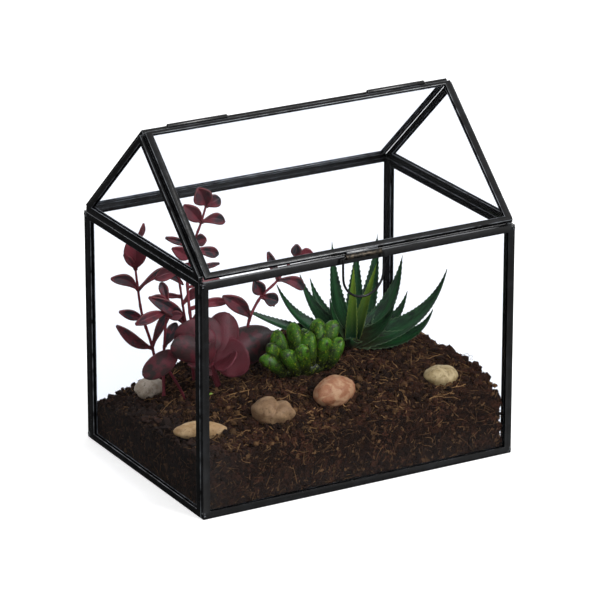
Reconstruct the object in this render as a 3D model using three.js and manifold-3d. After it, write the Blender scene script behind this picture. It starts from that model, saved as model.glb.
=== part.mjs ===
// House-shaped glass terrarium with a hinged roof pane, planted with succulents.
// Millimetres, +Z up. The origin is the centre of the footprint on the table,
// X runs along the ridge and -Y faces the wall under the opening pane.
import * as THREE from 'three';
import { mergeVertices } from 'three/addons/utils/BufferGeometryUtils.js';
import Module from 'manifold-3d';

const wasm = await Module();
wasm.setup();

// ---------- Driving dimensions ----------
const LENGTH = 222.6;
const DEPTH = 156.5;
const EAVE_HEIGHT = 154;
const APEX_HEIGHT = 225.6;
const GAP = 0.3;

// Edging channel: a folded strip that wraps each pane's edge.
const CHANNEL = 3;
const STRIP = 4.6;
const END_STRIP = 5.4;
const GABLE_STRIP = 3.9;
const BACK_STRIP = 2.6;
const RIDGE_STRIP = 2.2;
const END_INSET = 0.3;
const WEB = 1.2;
const FLANGE = 0.6;
const GLASS = 1.4;

const HALF_LENGTH = LENGTH / 2;
const HALF_DEPTH = DEPTH / 2;
const PITCH = Math.atan2(APEX_HEIGHT - EAVE_HEIGHT, HALF_DEPTH);
const SOLDER_RADIUS = 2.3;
const SOLDER_INSET = 1.2;
const SOLDER_SINK = 1.3;
const SOLDER_RISE = 0.6;
const SEAM_INSET = 0.2;
const SEAM_SHORTER = 1.5;

// Ridge hinges: two tubes on the fixed roof, a bent wire of the lid in each.
const BARREL_RADIUS = 1.6;
const BARREL_BORE = 0.95;
const BARREL_LENGTH = 41;
const BARREL_CENTRES = [-71.5, 70];
const HINGE_WIRE = 0.65;
const BARREL_JOINT = 0.1;
const HINGE_HEIGHT = APEX_HEIGHT + (BARREL_RADIUS + BARREL_JOINT) / Math.sin(PITCH);

// Roof panes, measured down the slope from the hinge line.
const ROOF_START = BARREL_RADIUS + GAP;
const ROOF_HALF_LENGTH = 108.8;
const LID_SIZE = { end: 106.1, side: STRIP, lower: 3.5 };
const BACK_ROOF_SIZE = { end: 107.6, side: BACK_STRIP, lower: 2 };
const ROOF_INNER = GAP - (HINGE_HEIGHT - APEX_HEIGHT) * Math.cos(PITCH);

// Pull ring and the tube that it swings in.
const PULL_TUBE_RADIUS = 1.7;
const PULL_TUBE_BORE = 1.15;
const PULL_TUBE_LENGTH = 25.4;
const PULL_TUBE_JOINT = 0.1;
const PULL_TUBE_DOWN = 109.4;
const LUG_HALF_LENGTH = 11;
const LUG_INSET = 0.7;
const RING_WIRE = 0.8;
const RING_HALF_WIDTH = 14.4;
const RING_DROP = 27.5;
const RING_CORNER = 2.4;

// Soil bed.
const SOIL_FLOOR = CHANNEL + GAP;
const SOIL_HALF_LENGTH = 107.3;
const SOIL_HALF_DEPTH = 74;
const ROOT_DEPTH = 16;

// ---------- Materials ----------
const finish = (color, roughness, metalness = 0, extra = {}) =>
  new THREE.MeshStandardMaterial({ color, roughness, metalness, flatShading: true, ...extra });

const blackMetal = () => finish(0x1b1c1e, 0.45, 0.6);
const wornMetal = () => finish(0x4a443d, 0.4, 0.8);
const clearGlass = () => finish(0xf4f8fa, 0.03, 0, { transparent: true, opacity: 0.18 });
const burgundyLeaf = () => finish(0x6e2a3a, 0.5);
const aloeGreen = () => finish(0x1f4f36, 0.45);
const limeGreen = () => finish(0x8ea82c, 0.45);
const fingerGreen = () => finish(0x3f8a1f, 0.3);

// ---------- Solids ----------
const toSolid = (geometry) => {
  const bare = geometry.clone();
  bare.deleteAttribute('normal');
  bare.deleteAttribute('uv');
  const merged = mergeVertices(bare, 1e-4);
  const solid = new wasm.Manifold(new wasm.Mesh({
    numProp: 3,
    vertProperties: new Float32Array(merged.attributes.position.array),
    triVerts: new Uint32Array(merged.index.array),
  }));
  if (solid.volume() <= 0) throw new Error('a shape has its faces pointing inwards');
  return solid;
};

const toGeometry = (solid) => {
  const mesh = solid.getMesh();
  const geometry = new THREE.BufferGeometry();
  geometry.setAttribute('position', new THREE.Float32BufferAttribute(mesh.vertProperties, 3));
  geometry.setIndex(new THREE.Uint32BufferAttribute(mesh.triVerts, 1));
  geometry.computeVertexNormals();
  return geometry;
};

// The main body of a solid, without any crumb that a cut has set loose.
const mainBody = (solid) => solid.decompose().sort((a, b) => b.volume() - a.volume())[0];

const fuse = (solids) => solids.reduce((whole, solid) => whole.add(solid));

const makeNode = (name, solid, material) => {
  const node = new THREE.Mesh(toGeometry(solid), material);
  node.name = name;
  return node;
};

const v3 = (x, y, z) => new THREE.Vector3(x, y, z);

// Repeatable random numbers for the natural shapes.
const makeRandom = (seed) => {
  let state = seed;
  return () => {
    state = (state * 1664525 + 1013904223) % 4294967296;
    return state / 4294967296;
  };
};

// ---------- Flat panels ----------
// Moves every side of a convex counter-clockwise outline inwards.
const insetOutline = (outline, distance) => {
  const sides = outline.map(([x, y], i) => {
    const [nextX, nextY] = outline[(i + 1) % outline.length];
    const length = Math.hypot(nextX - x, nextY - y);
    const normal = [-(nextY - y) / length, (nextX - x) / length];
    return { normal, offset: normal[0] * x + normal[1] * y + distance };
  });
  return sides.map((side, i) => {
    const before = sides[(i + sides.length - 1) % sides.length];
    const det = before.normal[0] * side.normal[1] - before.normal[1] * side.normal[0];
    return [
      (before.offset * side.normal[1] - side.offset * before.normal[1]) / det,
      (before.normal[0] * side.offset - side.normal[0] * before.offset) / det,
    ];
  });
};

const slab = (outline, bottom, top) => {
  const shape = new THREE.Shape(outline.map(([x, y]) => new THREE.Vector2(x, y)));
  const geometry = new THREE.ExtrudeGeometry(shape, { depth: top - bottom, bevelEnabled: false });
  geometry.translate(0, 0, bottom);
  return toSolid(geometry);
};

// The channel edging of one pane, lying in XY from z = 0 to the channel's thickness.
const edging = (outline, opening = insetOutline(outline, STRIP)) => slab(outline, 0, CHANNEL)
  .subtract(slab(opening, -1, CHANNEL + 1))
  .subtract(slab(insetOutline(outline, WEB), FLANGE, CHANNEL - FLANGE));

const pane = (outline) => {
  const bottom = (CHANNEL - GLASS) / 2;
  return slab(insetOutline(outline, WEB + GAP), bottom, bottom + GLASS);
};

const rectangle = (left, bottom, right, top) => [
  [left, bottom], [right, bottom], [right, top], [left, top],
];

const solderDrop = (x, y, z) => {
  const drop = new THREE.SphereGeometry(SOLDER_RADIUS, 6, 4);
  drop.translate(x, y, z);
  return toSolid(drop);
};

const cylinderX = (radius, length, sides) => {
  const rod = new THREE.CylinderGeometry(radius, radius, length, sides);
  rod.rotateZ(Math.PI / 2);
  return toSolid(rod);
};

const tubeX = (outer, bore, length, sides) => cylinderX(outer, length, sides)
  .subtract(cylinderX(bore, length + 2, sides));

const group = new THREE.Group();

// A group whose own z axis points out of a wall that faces the given way.
const wallGroup = (turn, distance) => {
  const turned = new THREE.Group();
  turned.rotation.z = turn;
  const upright = new THREE.Group();
  upright.rotation.x = Math.PI / 2;
  upright.position.y = -distance + CHANNEL;
  turned.add(upright);
  group.add(turned);
  return upright;
};

// ---------- Base ----------
const baseOutline = rectangle(
  -HALF_LENGTH + CHANNEL + GAP, -HALF_DEPTH + CHANNEL + GAP,
  HALF_LENGTH - CHANNEL - GAP, HALF_DEPTH - CHANNEL - GAP,
);
group.add(makeNode('base_edging', edging(baseOutline), blackMetal()));
group.add(makeNode('base_pane', pane(baseOutline), clearGlass()));

// ---------- Front and back walls ----------
const longWallHalf = HALF_LENGTH - END_INSET;
const longWallOutline = rectangle(-longWallHalf, 0, longWallHalf, EAVE_HEIGHT - GAP);
const solderHeights = [SOLDER_RADIUS, EAVE_HEIGHT - GAP - SOLDER_RADIUS];
const solderedLongWall = (strip) => {
  const drops = solderHeights.flatMap((height) => [-1, 1].map((side) =>
    solderDrop(side * (longWallHalf - SOLDER_INSET), height, CHANNEL - SOLDER_SINK)));
  const keep = slab(
    rectangle(-HALF_LENGTH, 0, HALF_LENGTH, EAVE_HEIGHT - GAP), GAP, CHANNEL + SOLDER_RISE,
  );
  return edging(longWallOutline, insetOutline(longWallOutline, strip)).add(fuse(drops).intersect(keep)
    .subtract(slab(insetOutline(longWallOutline, WEB), -1, CHANNEL + 1)));
};

// The solder seam on the back wall fills the wedge under the fixed roof pane.
const seamFoot = EAVE_HEIGHT - GAP - WEB / 2;
const seamTop = (inward) => EAVE_HEIGHT + inward * Math.tan(PITCH);
const seamSection = [
  [SEAM_INSET - CHANNEL, seamFoot], [-SEAM_INSET, seamFoot],
  [-SEAM_INSET, seamTop(CHANNEL - SEAM_INSET)], [SEAM_INSET - CHANNEL, seamTop(SEAM_INSET)],
];
const seamHalf = longWallHalf - SEAM_SHORTER;
const eaveSeam = slab(seamSection, -seamHalf, seamHalf).rotate([0, 90, 0]);
const longWalls = [
  ['front', 0, solderedLongWall(STRIP)],
  ['back', Math.PI, solderedLongWall(BACK_STRIP).add(eaveSeam)],
];
for (const [name, turn, strips] of longWalls) {
  const wall = wallGroup(turn, HALF_DEPTH);
  wall.add(makeNode(`${name}_wall_edging`, strips, blackMetal()));
  wall.add(makeNode(`${name}_wall_pane`, pane(longWallOutline), clearGlass()));
}

// ---------- End walls and gables ----------
const endWallHalf = HALF_DEPTH - CHANNEL - GAP;
const endWallOutline = rectangle(-endWallHalf, 0, endWallHalf, EAVE_HEIGHT - GAP);
const endWallOpening = rectangle(
  -endWallHalf + END_STRIP, STRIP, endWallHalf - END_STRIP, EAVE_HEIGHT - GAP - STRIP,
);
const gableShoulder = EAVE_HEIGHT + (HALF_DEPTH - endWallHalf) * Math.tan(PITCH);
const gableOutline = [
  [-endWallHalf, EAVE_HEIGHT], [endWallHalf, EAVE_HEIGHT],
  [endWallHalf, gableShoulder], [0, APEX_HEIGHT], [-endWallHalf, gableShoulder],
];
const gableDrop = GABLE_STRIP - STRIP;
const gableReach = HALF_DEPTH + gableDrop / Math.tan(PITCH);
const gableOpening = insetOutline([
  [-gableReach, EAVE_HEIGHT - gableDrop], [gableReach, EAVE_HEIGHT - gableDrop], [0, APEX_HEIGHT],
], GABLE_STRIP);
for (const [name, turn] of [['left', -Math.PI / 2], ['right', Math.PI / 2]]) {
  const wall = wallGroup(turn, HALF_LENGTH);
  wall.add(makeNode(`${name}_wall_edging`, edging(endWallOutline, endWallOpening), blackMetal()));
  wall.add(makeNode(`${name}_wall_pane`, pane(endWallOutline), clearGlass()));
  wall.add(makeNode(`${name}_gable_edging`, edging(gableOutline, gableOpening), blackMetal()));
  wall.add(makeNode(`${name}_gable_pane`, pane(gableOutline), clearGlass()));
}

// ---------- Roof: fixed back pane and hinged front lid ----------
// Each slope hangs from the hinge line; its own -y runs down the slope and z points out.
const roofOutline = ({ end }) => rectangle(-ROOF_HALF_LENGTH, -end, ROOF_HALF_LENGTH, -ROOF_START);
const roofSlope = (turn) => {
  const turned = new THREE.Group();
  turned.rotation.z = turn;
  turned.position.z = HINGE_HEIGHT;
  const slope = new THREE.Group();
  slope.rotation.x = PITCH;
  turned.add(slope);
  group.add(turned);
  return slope;
};
const lift = (solid) => solid.translate([0, 0, ROOF_INNER]);
const roofOpening = ({ end, side, lower }) => rectangle(
  -ROOF_HALF_LENGTH + side, -end + lower, ROOF_HALF_LENGTH - side, -ROOF_START - RIDGE_STRIP,
);
const roofEdging = (size) => edging(roofOutline(size), roofOpening(size));

const backSlope = roofSlope(Math.PI);
backSlope.add(makeNode('back_roof_edging', lift(roofEdging(BACK_ROOF_SIZE)), blackMetal()));
backSlope.add(makeNode('back_roof_pane', lift(pane(roofOutline(BACK_ROOF_SIZE))), clearGlass()));

// The lid stops short of the wall's top, and a lug of solder carries the pull tube.
const lidSlope = roofSlope(0);
const lugEnd = PULL_TUBE_DOWN - PULL_TUBE_RADIUS - PULL_TUBE_JOINT;
const lug = slab(
  rectangle(-LUG_HALF_LENGTH, -lugEnd, LUG_HALF_LENGTH, -LID_SIZE.end + WEB / 2),
  LUG_INSET, CHANNEL - LUG_INSET,
);
lidSlope.add(makeNode('lid_edging', lift(roofEdging(LID_SIZE).add(lug)), blackMetal()));
lidSlope.add(makeNode('lid_pane', lift(pane(roofOutline(LID_SIZE))), clearGlass()));

// A hinge wire: straight inside its tube, with both ends bent down to the lid's top bar.
const hingeWire = () => {
  const reach = BARREL_LENGTH / 2 + GAP + HINGE_WIRE;
  const legs = [-1, 1].map((side) => {
    const leg = new THREE.CylinderGeometry(HINGE_WIRE, HINGE_WIRE, ROOF_START - GAP, 8);
    leg.translate(side * reach, -(ROOF_START - GAP) / 2, 0);
    return toSolid(leg);
  });
  return cylinderX(HINGE_WIRE, 2 * reach + HINGE_WIRE, 8).add(fuse(legs));
};
BARREL_CENTRES.forEach((centre, i) => {
  const side = ['left', 'right'][i];
  const barrel = makeNode(
    `hinge_barrel_${side}`, tubeX(BARREL_RADIUS, BARREL_BORE, BARREL_LENGTH, 14), blackMetal(),
  );
  barrel.position.set(centre, 0, HINGE_HEIGHT);
  group.add(barrel);
  const wire = makeNode(`hinge_wire_${side}`, hingeWire(), blackMetal());
  wire.position.x = centre;
  lidSlope.add(wire);
});

// ---------- Pull ring ----------
const tubeOut = ROOF_INNER + CHANNEL / 2;
const pullTube = makeNode(
  'pull_tube', tubeX(PULL_TUBE_RADIUS, PULL_TUBE_BORE, PULL_TUBE_LENGTH, 14), wornMetal(),
);
pullTube.position.set(0, -PULL_TUBE_DOWN, tubeOut);
lidSlope.add(pullTube);

// Sweeps a round wire along a closed line of points that lies in the XZ plane.
const wireLoop = (points, radius, sides) => {
  const positions = [];
  const triangles = [];
  points.forEach((point, i) => {
    const before = points[(i + points.length - 1) % points.length];
    const after = points[(i + 1) % points.length];
    const along = after.clone().sub(before).normalize();
    const out = v3(along.z, 0, -along.x);
    for (let k = 0; k < sides; k += 1) {
      const angle = (k / sides) * 2 * Math.PI;
      const place = point.clone()
        .addScaledVector(out, radius * Math.cos(angle))
        .add(v3(0, radius * Math.sin(angle), 0));
      positions.push(place.x, place.y, place.z);
      const next = ((i + 1) % points.length) * sides;
      const a = i * sides + k;
      const b = i * sides + ((k + 1) % sides);
      const c = next + k;
      const d = next + ((k + 1) % sides);
      triangles.push(a, b, c, b, d, c);
    }
  });
  const geometry = new THREE.BufferGeometry();
  geometry.setAttribute('position', new THREE.Float32BufferAttribute(positions, 3));
  geometry.setIndex(triangles);
  return geometry;
};

const ringStraight = RING_DROP - RING_HALF_WIDTH;
const ringCorner = new THREE.QuadraticBezierCurve3(
  v3(RING_HALF_WIDTH - RING_CORNER, 0, 0),
  v3(RING_HALF_WIDTH, 0, 0),
  v3(RING_HALF_WIDTH, 0, -RING_CORNER),
).getPoints(4);
const BOW_STEPS = 12;
const ringBow = Array.from({ length: BOW_STEPS + 1 }, (_, i) => {
  const angle = (i / BOW_STEPS) * Math.PI;
  return v3(RING_HALF_WIDTH * Math.cos(angle), 0, -ringStraight - RING_HALF_WIDTH * Math.sin(angle));
});
const ringPoints = [
  ...ringCorner,
  ...ringBow,
  ...ringCorner.toReversed().map((point) => v3(-point.x, 0, point.z)),
];
const ring = makeNode('pull_ring', toSolid(wireLoop(ringPoints, RING_WIRE, 7)), blackMetal());
ring.position.set(
  0,
  -PULL_TUBE_DOWN * Math.cos(PITCH) - tubeOut * Math.sin(PITCH),
  HINGE_HEIGHT - PULL_TUBE_DOWN * Math.sin(PITCH) + tubeOut * Math.cos(PITCH),
);
group.add(ring);

// ---------- Leaves ----------
// A thin blade from base to tip. widths(t) gives its half width, bend(t) its rise, cup its hollow.
const blade = ({ base, tip, facing, widths, arch = 0, cup = 0.2, wave = 0, rows = 6, columns = 2,
  thickness = 0.8 }) => {
  const along = tip.clone().sub(base);
  const length = along.length();
  along.normalize();
  const side = v3(0, 0, 0).crossVectors(along, facing).normalize();
  const normal = v3(0, 0, 0).crossVectors(side, along);
  const positions = [];
  const triangles = [];
  const index = (layer, row, column) => (layer * (rows + 1) + row) * (columns + 1) + column;
  for (const layer of [0, 1]) {
    for (let row = 0; row <= rows; row += 1) {
      const t = row / rows;
      for (let column = 0; column <= columns; column += 1) {
        const s = (column / columns) * 2 - 1;
        const half = widths(t);
        const rise = arch * Math.sin(Math.PI * t) * length
          + cup * half * s * s + wave * half * s * Math.sin(5 * t + s)
          + (layer - 0.5) * thickness;
        const place = base.clone()
          .addScaledVector(along, t * length)
          .addScaledVector(side, s * half)
          .addScaledVector(normal, rise);
        positions.push(place.x, place.y, place.z);
      }
    }
  }
  const quad = (a, b, c, d) => triangles.push(a, b, c, a, c, d);
  for (let row = 0; row < rows; row += 1) {
    for (let column = 0; column < columns; column += 1) {
      const corners = (layer) => [
        index(layer, row, column), index(layer, row, column + 1),
        index(layer, row + 1, column + 1), index(layer, row + 1, column),
      ];
      const [a, b, c, d] = corners(1);
      quad(a, b, c, d);
      const [e, f, g, h] = corners(0);
      triangles.push(e, g, f, e, h, g);
    }
  }
  for (let row = 0; row < rows; row += 1) {
    quad(index(0, row, 0), index(1, row, 0), index(1, row + 1, 0), index(0, row + 1, 0));
    quad(
      index(1, row, columns), index(0, row, columns),
      index(0, row + 1, columns), index(1, row + 1, columns),
    );
  }
  for (let column = 0; column < columns; column += 1) {
    quad(index(0, 0, column + 1), index(1, 0, column + 1), index(1, 0, column), index(0, 0, column));
    quad(
      index(0, rows, column), index(1, rows, column),
      index(1, rows, column + 1), index(0, rows, column + 1),
    );
  }
  const geometry = new THREE.BufferGeometry();
  geometry.setAttribute('position', new THREE.Float32BufferAttribute(positions, 3));
  geometry.setIndex(triangles);
  return toSolid(geometry);
};

// Half widths of an oval leaf on a short stalk, and of a round leaf on a long one.
const ovalLeaf = (width, stalk) => (t) => {
  const open = Math.max(0, (t - 0.12) / 0.88);
  return Math.max(stalk * (1 - 0.5 * t), (width / 2) * Math.sin(Math.PI * open ** 0.85) ** 0.75);
};
const roundLeaf = (width, stalk, start) => (t) => {
  const open = Math.max(0, (t - start) / (1 - start));
  return Math.max(stalk, (width / 2) * Math.sqrt(Math.max(0, 1 - (2 * open - 1) ** 2)));
};

// Sweeps a tapering round stem along a curve.
const taperedStem = (curve, thick, thin, steps, sides) => {
  const positions = [];
  const triangles = [];
  const frames = curve.computeFrenetFrames(steps, false);
  for (let i = 0; i <= steps; i += 1) {
    const centre = curve.getPointAt(i / steps);
    const radius = thick + (thin - thick) * (i / steps);
    for (let k = 0; k < sides; k += 1) {
      const angle = (k / sides) * 2 * Math.PI;
      const place = centre.clone()
        .addScaledVector(frames.normals[i], radius * Math.cos(angle))
        .addScaledVector(frames.binormals[i], radius * Math.sin(angle));
      positions.push(place.x, place.y, place.z);
    }
  }
  const first = positions.length / 3;
  const start = curve.getPointAt(0);
  const end = curve.getPointAt(1);
  positions.push(start.x, start.y, start.z, end.x, end.y, end.z);
  for (let k = 0; k < sides; k += 1) {
    const next = (k + 1) % sides;
    for (let i = 0; i < steps; i += 1) {
      const a = i * sides + k;
      const b = i * sides + next;
      triangles.push(a, b, b + sides, a, b + sides, a + sides);
    }
    triangles.push(first, next, k);
    triangles.push(first + 1, steps * sides + k, steps * sides + next);
  }
  const geometry = new THREE.BufferGeometry();
  geometry.setAttribute('position', new THREE.Float32BufferAttribute(positions, 3));
  geometry.setIndex(triangles);
  return toSolid(geometry);
};

// ---------- Soil surface ----------
// Height of the heap: a broad crest behind the middle that falls to the corners.
const bump = (x, y, centreX, centreY, spreadX, spreadY) =>
  Math.exp(-(((x - centreX) / spreadX) ** 2) - (((y - centreY) / spreadY) ** 2));

const soilHeight = (x, y) => 35
  + 24.5 * bump(x, y, 36, 26, 90, 55)
  + 6.5 * bump(x, y, -45, -18, 46, 45)
  + 5 * bump(x, y, 10, -40, 60, 35)
  + 12 * bump(x, y, 100, -45, 60, 40)
  + 2 * bump(x, y, -95, -74, 50, 40)
  - 12 * bump(x, y, -112, 84, 46, 56)
  - 5 * bump(x, y, 118, 84, 50, 50)
  - 5 * bump(x, y, -118, -5, 30, 60);

const soilCrumbs = (x, y) => 0.9 * Math.sin(0.41 * x + 0.9 * Math.sin(0.23 * y))
  * Math.cos(0.37 * y + 1.1 * Math.sin(0.19 * x))
  + 0.7 * Math.sin(0.93 * x + 0.61 * y) * Math.sin(0.71 * y - 0.47 * x);

const soilTop = (x, y) => soilHeight(x, y) + soilCrumbs(x, y);

// ---------- Burgundy leafy stems ----------
// path: points from root to top. Each leaf: where on the stem, tip, width and how it faces.
const FACING = { front: v3(-0.4, -0.8, 0.35), up: v3(-0.2, -0.35, 0.9), side: v3(0.5, -0.5, 0.6) };

const leafyStem = ({ root, path, leaves, thick = 1.15, thin = 0.7 }) => {
  const points = path.map(([x, y, z]) => v3(x, y, z));
  points.unshift(v3(root[0], root[1], soilHeight(...root)));
  points.unshift(points[0].clone().sub(v3(0, 0, ROOT_DEPTH)));
  const curve = new THREE.CatmullRomCurve3(points, false, 'centripetal');
  const solids = [taperedStem(curve, thick, thin, 10, 5)];
  for (const [place, x, y, z, width, facing] of leaves) {
    const base = curve.getPointAt(place);
    const tip = v3(x, y, z);
    solids.push(blade({
      base, tip, facing: FACING[facing], widths: ovalLeaf(width, 0.7),
      arch: 0.07, cup: 0.25, wave: 0.1, rows: 5,
    }));
  }
  return { solid: fuse(solids), root: points[1], thick };
};

const burgundyStems = {
  burgundy_stem_far_left: leafyStem({
    root: [-70, 57],
    path: [[-75, 57, 62], [-82.5, 56, 86], [-85.5, 56, 107], [-87.5, 55, 122], [-88.5, 54, 137]],
    leaves: [
      [0.35, -102, 50, 83, 11, 'front'], [0.54, -102, 48, 94, 8, 'up'], [0.36, -60, 58, 84, 8, 'side'],
      [0.71, -102, 62, 111, 10, 'up'], [0.71, -66, 58, 114, 9, 'up'], [0.84, -99, 50, 131, 7, 'up'],
      [0.83, -91, 48, 144, 14, 'front'], [0.93, -76, 56, 133, 8, 'front'],
      [0.98, -99, 50, 147, 6, 'front'], [1.0, -81, 55, 147, 6, 'side'],
    ],
  }),
  burgundy_stem_near_left: leafyStem({
    root: [-82, 28],
    path: [[-82, 28, 62], [-80.5, 28, 84], [-79, 28, 98], [-78, 29, 104]],
    leaves: [
      [0.88, -102, 33, 92, 10, 'front'], [0.96, -92, 27, 110, 11, 'up'], [0.62, -97, 24, 79, 10, 'front'],
      [0.86, -71, 23, 94, 8, 'front'], [1.0, -80, 34, 114, 8, 'up'],
    ],
  }),
  burgundy_stem_middle: leafyStem({
    root: [-58, 32],
    path: [[-62, 32, 72], [-66, 32, 98], [-68, 32, 112], [-70, 32, 121]],
    leaves: [
      [0.97, -89, 31, 121, 10, 'up'], [0.97, -57, 36, 119, 9, 'up'],
      [0.75, -52, 36, 104, 9, 'front'], [1.0, -76, 34, 132, 8, 'front'],
      [0.55, -47, 38, 86, 10, 'front'],
    ],
  }),
  burgundy_stem_tall: leafyStem({
    root: [-62, 18],
    path: [[-65, 19, 76], [-68, 20, 104], [-68, 21, 120], [-63, 21, 142], [-58, 21, 154],
      [-54, 21, 166]],
    leaves: [
      [0.5, -47, 10, 100, 10, 'up'], [0.58, -50, 10, 110, 9, 'up'], [0.66, -46, 12, 117, 9, 'up'],
      [0.7, -46, 24, 126, 5, 'side'], [0.78, -44, 22, 131, 9, 'up'], [0.79, -82, 24, 146, 7, 'up'],
      [0.79, -77, 16, 138, 12, 'front'], [0.82, -52, 15, 147, 9, 'front'],
      [0.91, -70, 19, 169, 11, 'front'], [0.91, -41, 20, 152, 9, 'up'],
      [0.99, -60, 19, 179, 15, 'front'], [1.0, -44, 20, 169, 11, 'front'],
    ],
  }),
  burgundy_stem_right: leafyStem({
    root: [-30, 18],
    path: [[-28, 17, 72], [-27, 16, 84], [-19, 16, 98], [-7, 16, 107], [3, 16, 118], [9, 16, 121]],
    leaves: [
      [0.5, -46, 13, 107, 12, 'front'], [0.66, -4, 10, 95, 13, 'front'], [0.66, -22, 13, 112, 11, 'front'],
      [0.8, 13, 12, 99, 10, 'up'], [0.8, -15, 19, 127, 7, 'front'], [0.98, 8, 15, 131, 9, 'front'],
      [1.0, 20, 13, 125, 10, 'up'], [0.42, -12, 20, 84, 9, 'up'],
    ],
  }),
};

// ---------- Burgundy rosette of round leaves ----------
const ROSETTE_ROOT = v3(-55, 5, soilHeight(-55, 5));
const ROSETTE_HUB = v3(-62, 2, 65);
const rosetteLeaves = [
  // tip x, y, z, width, bare share of the stalk, facing
  [-42, -12, 71, 26, 0.1, 'front'], [-19, 5, 86, 25, 0.22, 'front'], [-48, 9, 99, 24, 0.2, 'front'],
  [-87, 9, 95, 21, 0.18, 'front'], [-68, 9, 98, 20, 0.2, 'front'], [-90, 5, 77, 18, 0.22, 'up'],
  [-54, -13, 79, 18, 0.15, 'up'], [-79, -7, 71, 18, 0.2, 'up'], [-66, -3, 84, 16, 0.2, 'up'],
];
const rosette = () => {
  const foot = ROSETTE_ROOT.clone().sub(v3(0, 0, ROOT_DEPTH));
  const stalk = new THREE.CatmullRomCurve3(
    [foot, ROSETTE_ROOT, v3(-58, 4, 56), ROSETTE_HUB.clone().add(v3(-1, 0, 2))], false, 'centripetal',
  );
  const solids = [taperedStem(stalk, 1.9, 2.6, 6, 7)];
  for (const [x, y, z, width, share, facing] of rosetteLeaves) {
    const tip = v3(x, y, z);
    const out = tip.clone().sub(ROSETTE_HUB).normalize();
    solids.push(blade({
      base: ROSETTE_HUB.clone().addScaledVector(out, 1.4), tip, facing: FACING[facing],
      widths: roundLeaf(width, 1.1, share), arch: 0.08, cup: 0.28, rows: 6, columns: 4, thickness: 1,
    }));
  }
  return fuse(solids);
};

// The one round leaf that stands on a long stalk of its own.
const STRAY_ROOT = v3(-75, 13, soilHeight(-75, 13));
const strayLeaf = () => {
  const foot = STRAY_ROOT.clone().sub(v3(0, 0, ROOT_DEPTH));
  const neck = v3(-84, 13, 57);
  const stalk = new THREE.CatmullRomCurve3([foot, STRAY_ROOT, v3(-80, 13, 50), neck], false, 'centripetal');
  const leaf = blade({
    base: v3(-82, 13, 55), tip: v3(-101, 16, 72), facing: FACING.front, widths: roundLeaf(21, 0.9, 0.06),
    arch: 0.08, cup: 0.25, rows: 7, columns: 4, thickness: 1,
  });
  return taperedStem(stalk, 1, 0.9, 8, 6).add(leaf);
};

// A seedling with a pair of small leaves.
const SPROUT_ROOT = v3(-68, -2, soilHeight(-68, -2));
const sprout = () => {
  const top = SPROUT_ROOT.clone().add(v3(0, 0, 3.5));
  const foot = SPROUT_ROOT.clone().sub(v3(0, 0, 6));
  const solids = [taperedStem(new THREE.LineCurve3(foot, top), 0.6, 0.5, 2, 5)];
  for (const [x, y] of [[-4, -1], [3.5, -2.5], [0, 3.5]]) {
    solids.push(blade({
      base: top.clone().sub(v3(0, 0, 0.5)), tip: top.clone().add(v3(x, y, 1.5)), facing: v3(0, 0, 1),
      widths: ovalLeaf(2.6, 0.4), rows: 4,
    }));
  }
  return fuse(solids);
};

// ---------- Aloe ----------
const ALOE_ROOT = v3(42, 4, soilHeight(42, 4));
const ALOE_HUB = v3(-8, -24, 50);
const ALOE_CROWN = 6;
const ALOE_STEM = 6;
// A thick toothed leaf: two hollowed upper faces, a keeled back and a point at the tip.
const aloeLeaf = ({ base, bend, tip, width, thick, teeth, swell = 0 }) => {
  const curve = new THREE.QuadraticBezierCurve3(base, bend, tip);
  const stations = teeth * 2;
  const positions = [];
  const triangles = [];
  const section = (half, depth, tooth) => [
    [-half - tooth - swell, 0.25 * half + swell], [0, swell - 0.3 * depth],
    [half + tooth + swell, 0.25 * half + swell], [0.5 * half + swell, -0.8 * depth - swell],
    [-0.5 * half - swell, -0.8 * depth - swell],
  ];
  const sides = 5;
  const hub = ALOE_ROOT.clone().add(ALOE_HUB);
  for (let i = 0; i < stations; i += 1) {
    const t = i / stations;
    const centre = curve.getPoint(t);
    const along = curve.getTangent(t);
    const inward = hub.clone().sub(curve.getPoint(0.5)).normalize();
    const across = v3(0, 0, 0).crossVectors(along, inward).normalize();
    const up = v3(0, 0, 0).crossVectors(across, along).normalize();
    const half = (width / 2) * (1 - t ** 2.2) * (0.82 + 0.35 * t);
    const depth = thick * (1 - 0.85 * t);
    const tooth = i % 2 === 1 ? 1.0 - 0.5 * t : 0;
    for (const [a, b] of section(half, depth, tooth)) {
      const place = centre.clone().addScaledVector(across, a).addScaledVector(up, b);
      positions.push(place.x, place.y, place.z);
    }
  }
  const rootPoint = positions.length / 3;
  const start = curve.getPoint(0);
  positions.push(start.x, start.y, start.z, tip.x, tip.y, tip.z);
  for (let k = 0; k < sides; k += 1) {
    const next = (k + 1) % sides;
    for (let i = 0; i < stations - 1; i += 1) {
      const a = i * sides + k;
      const b = i * sides + next;
      triangles.push(a, b, b + sides, a, b + sides, a + sides);
    }
    triangles.push(rootPoint, next, k);
    triangles.push(rootPoint + 1, (stations - 1) * sides + k, (stations - 1) * sides + next);
  }
  const geometry = new THREE.BufferGeometry();
  geometry.setAttribute('position', new THREE.Float32BufferAttribute(positions, 3));
  geometry.setIndex(triangles);
  return toSolid(geometry);
};

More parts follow.
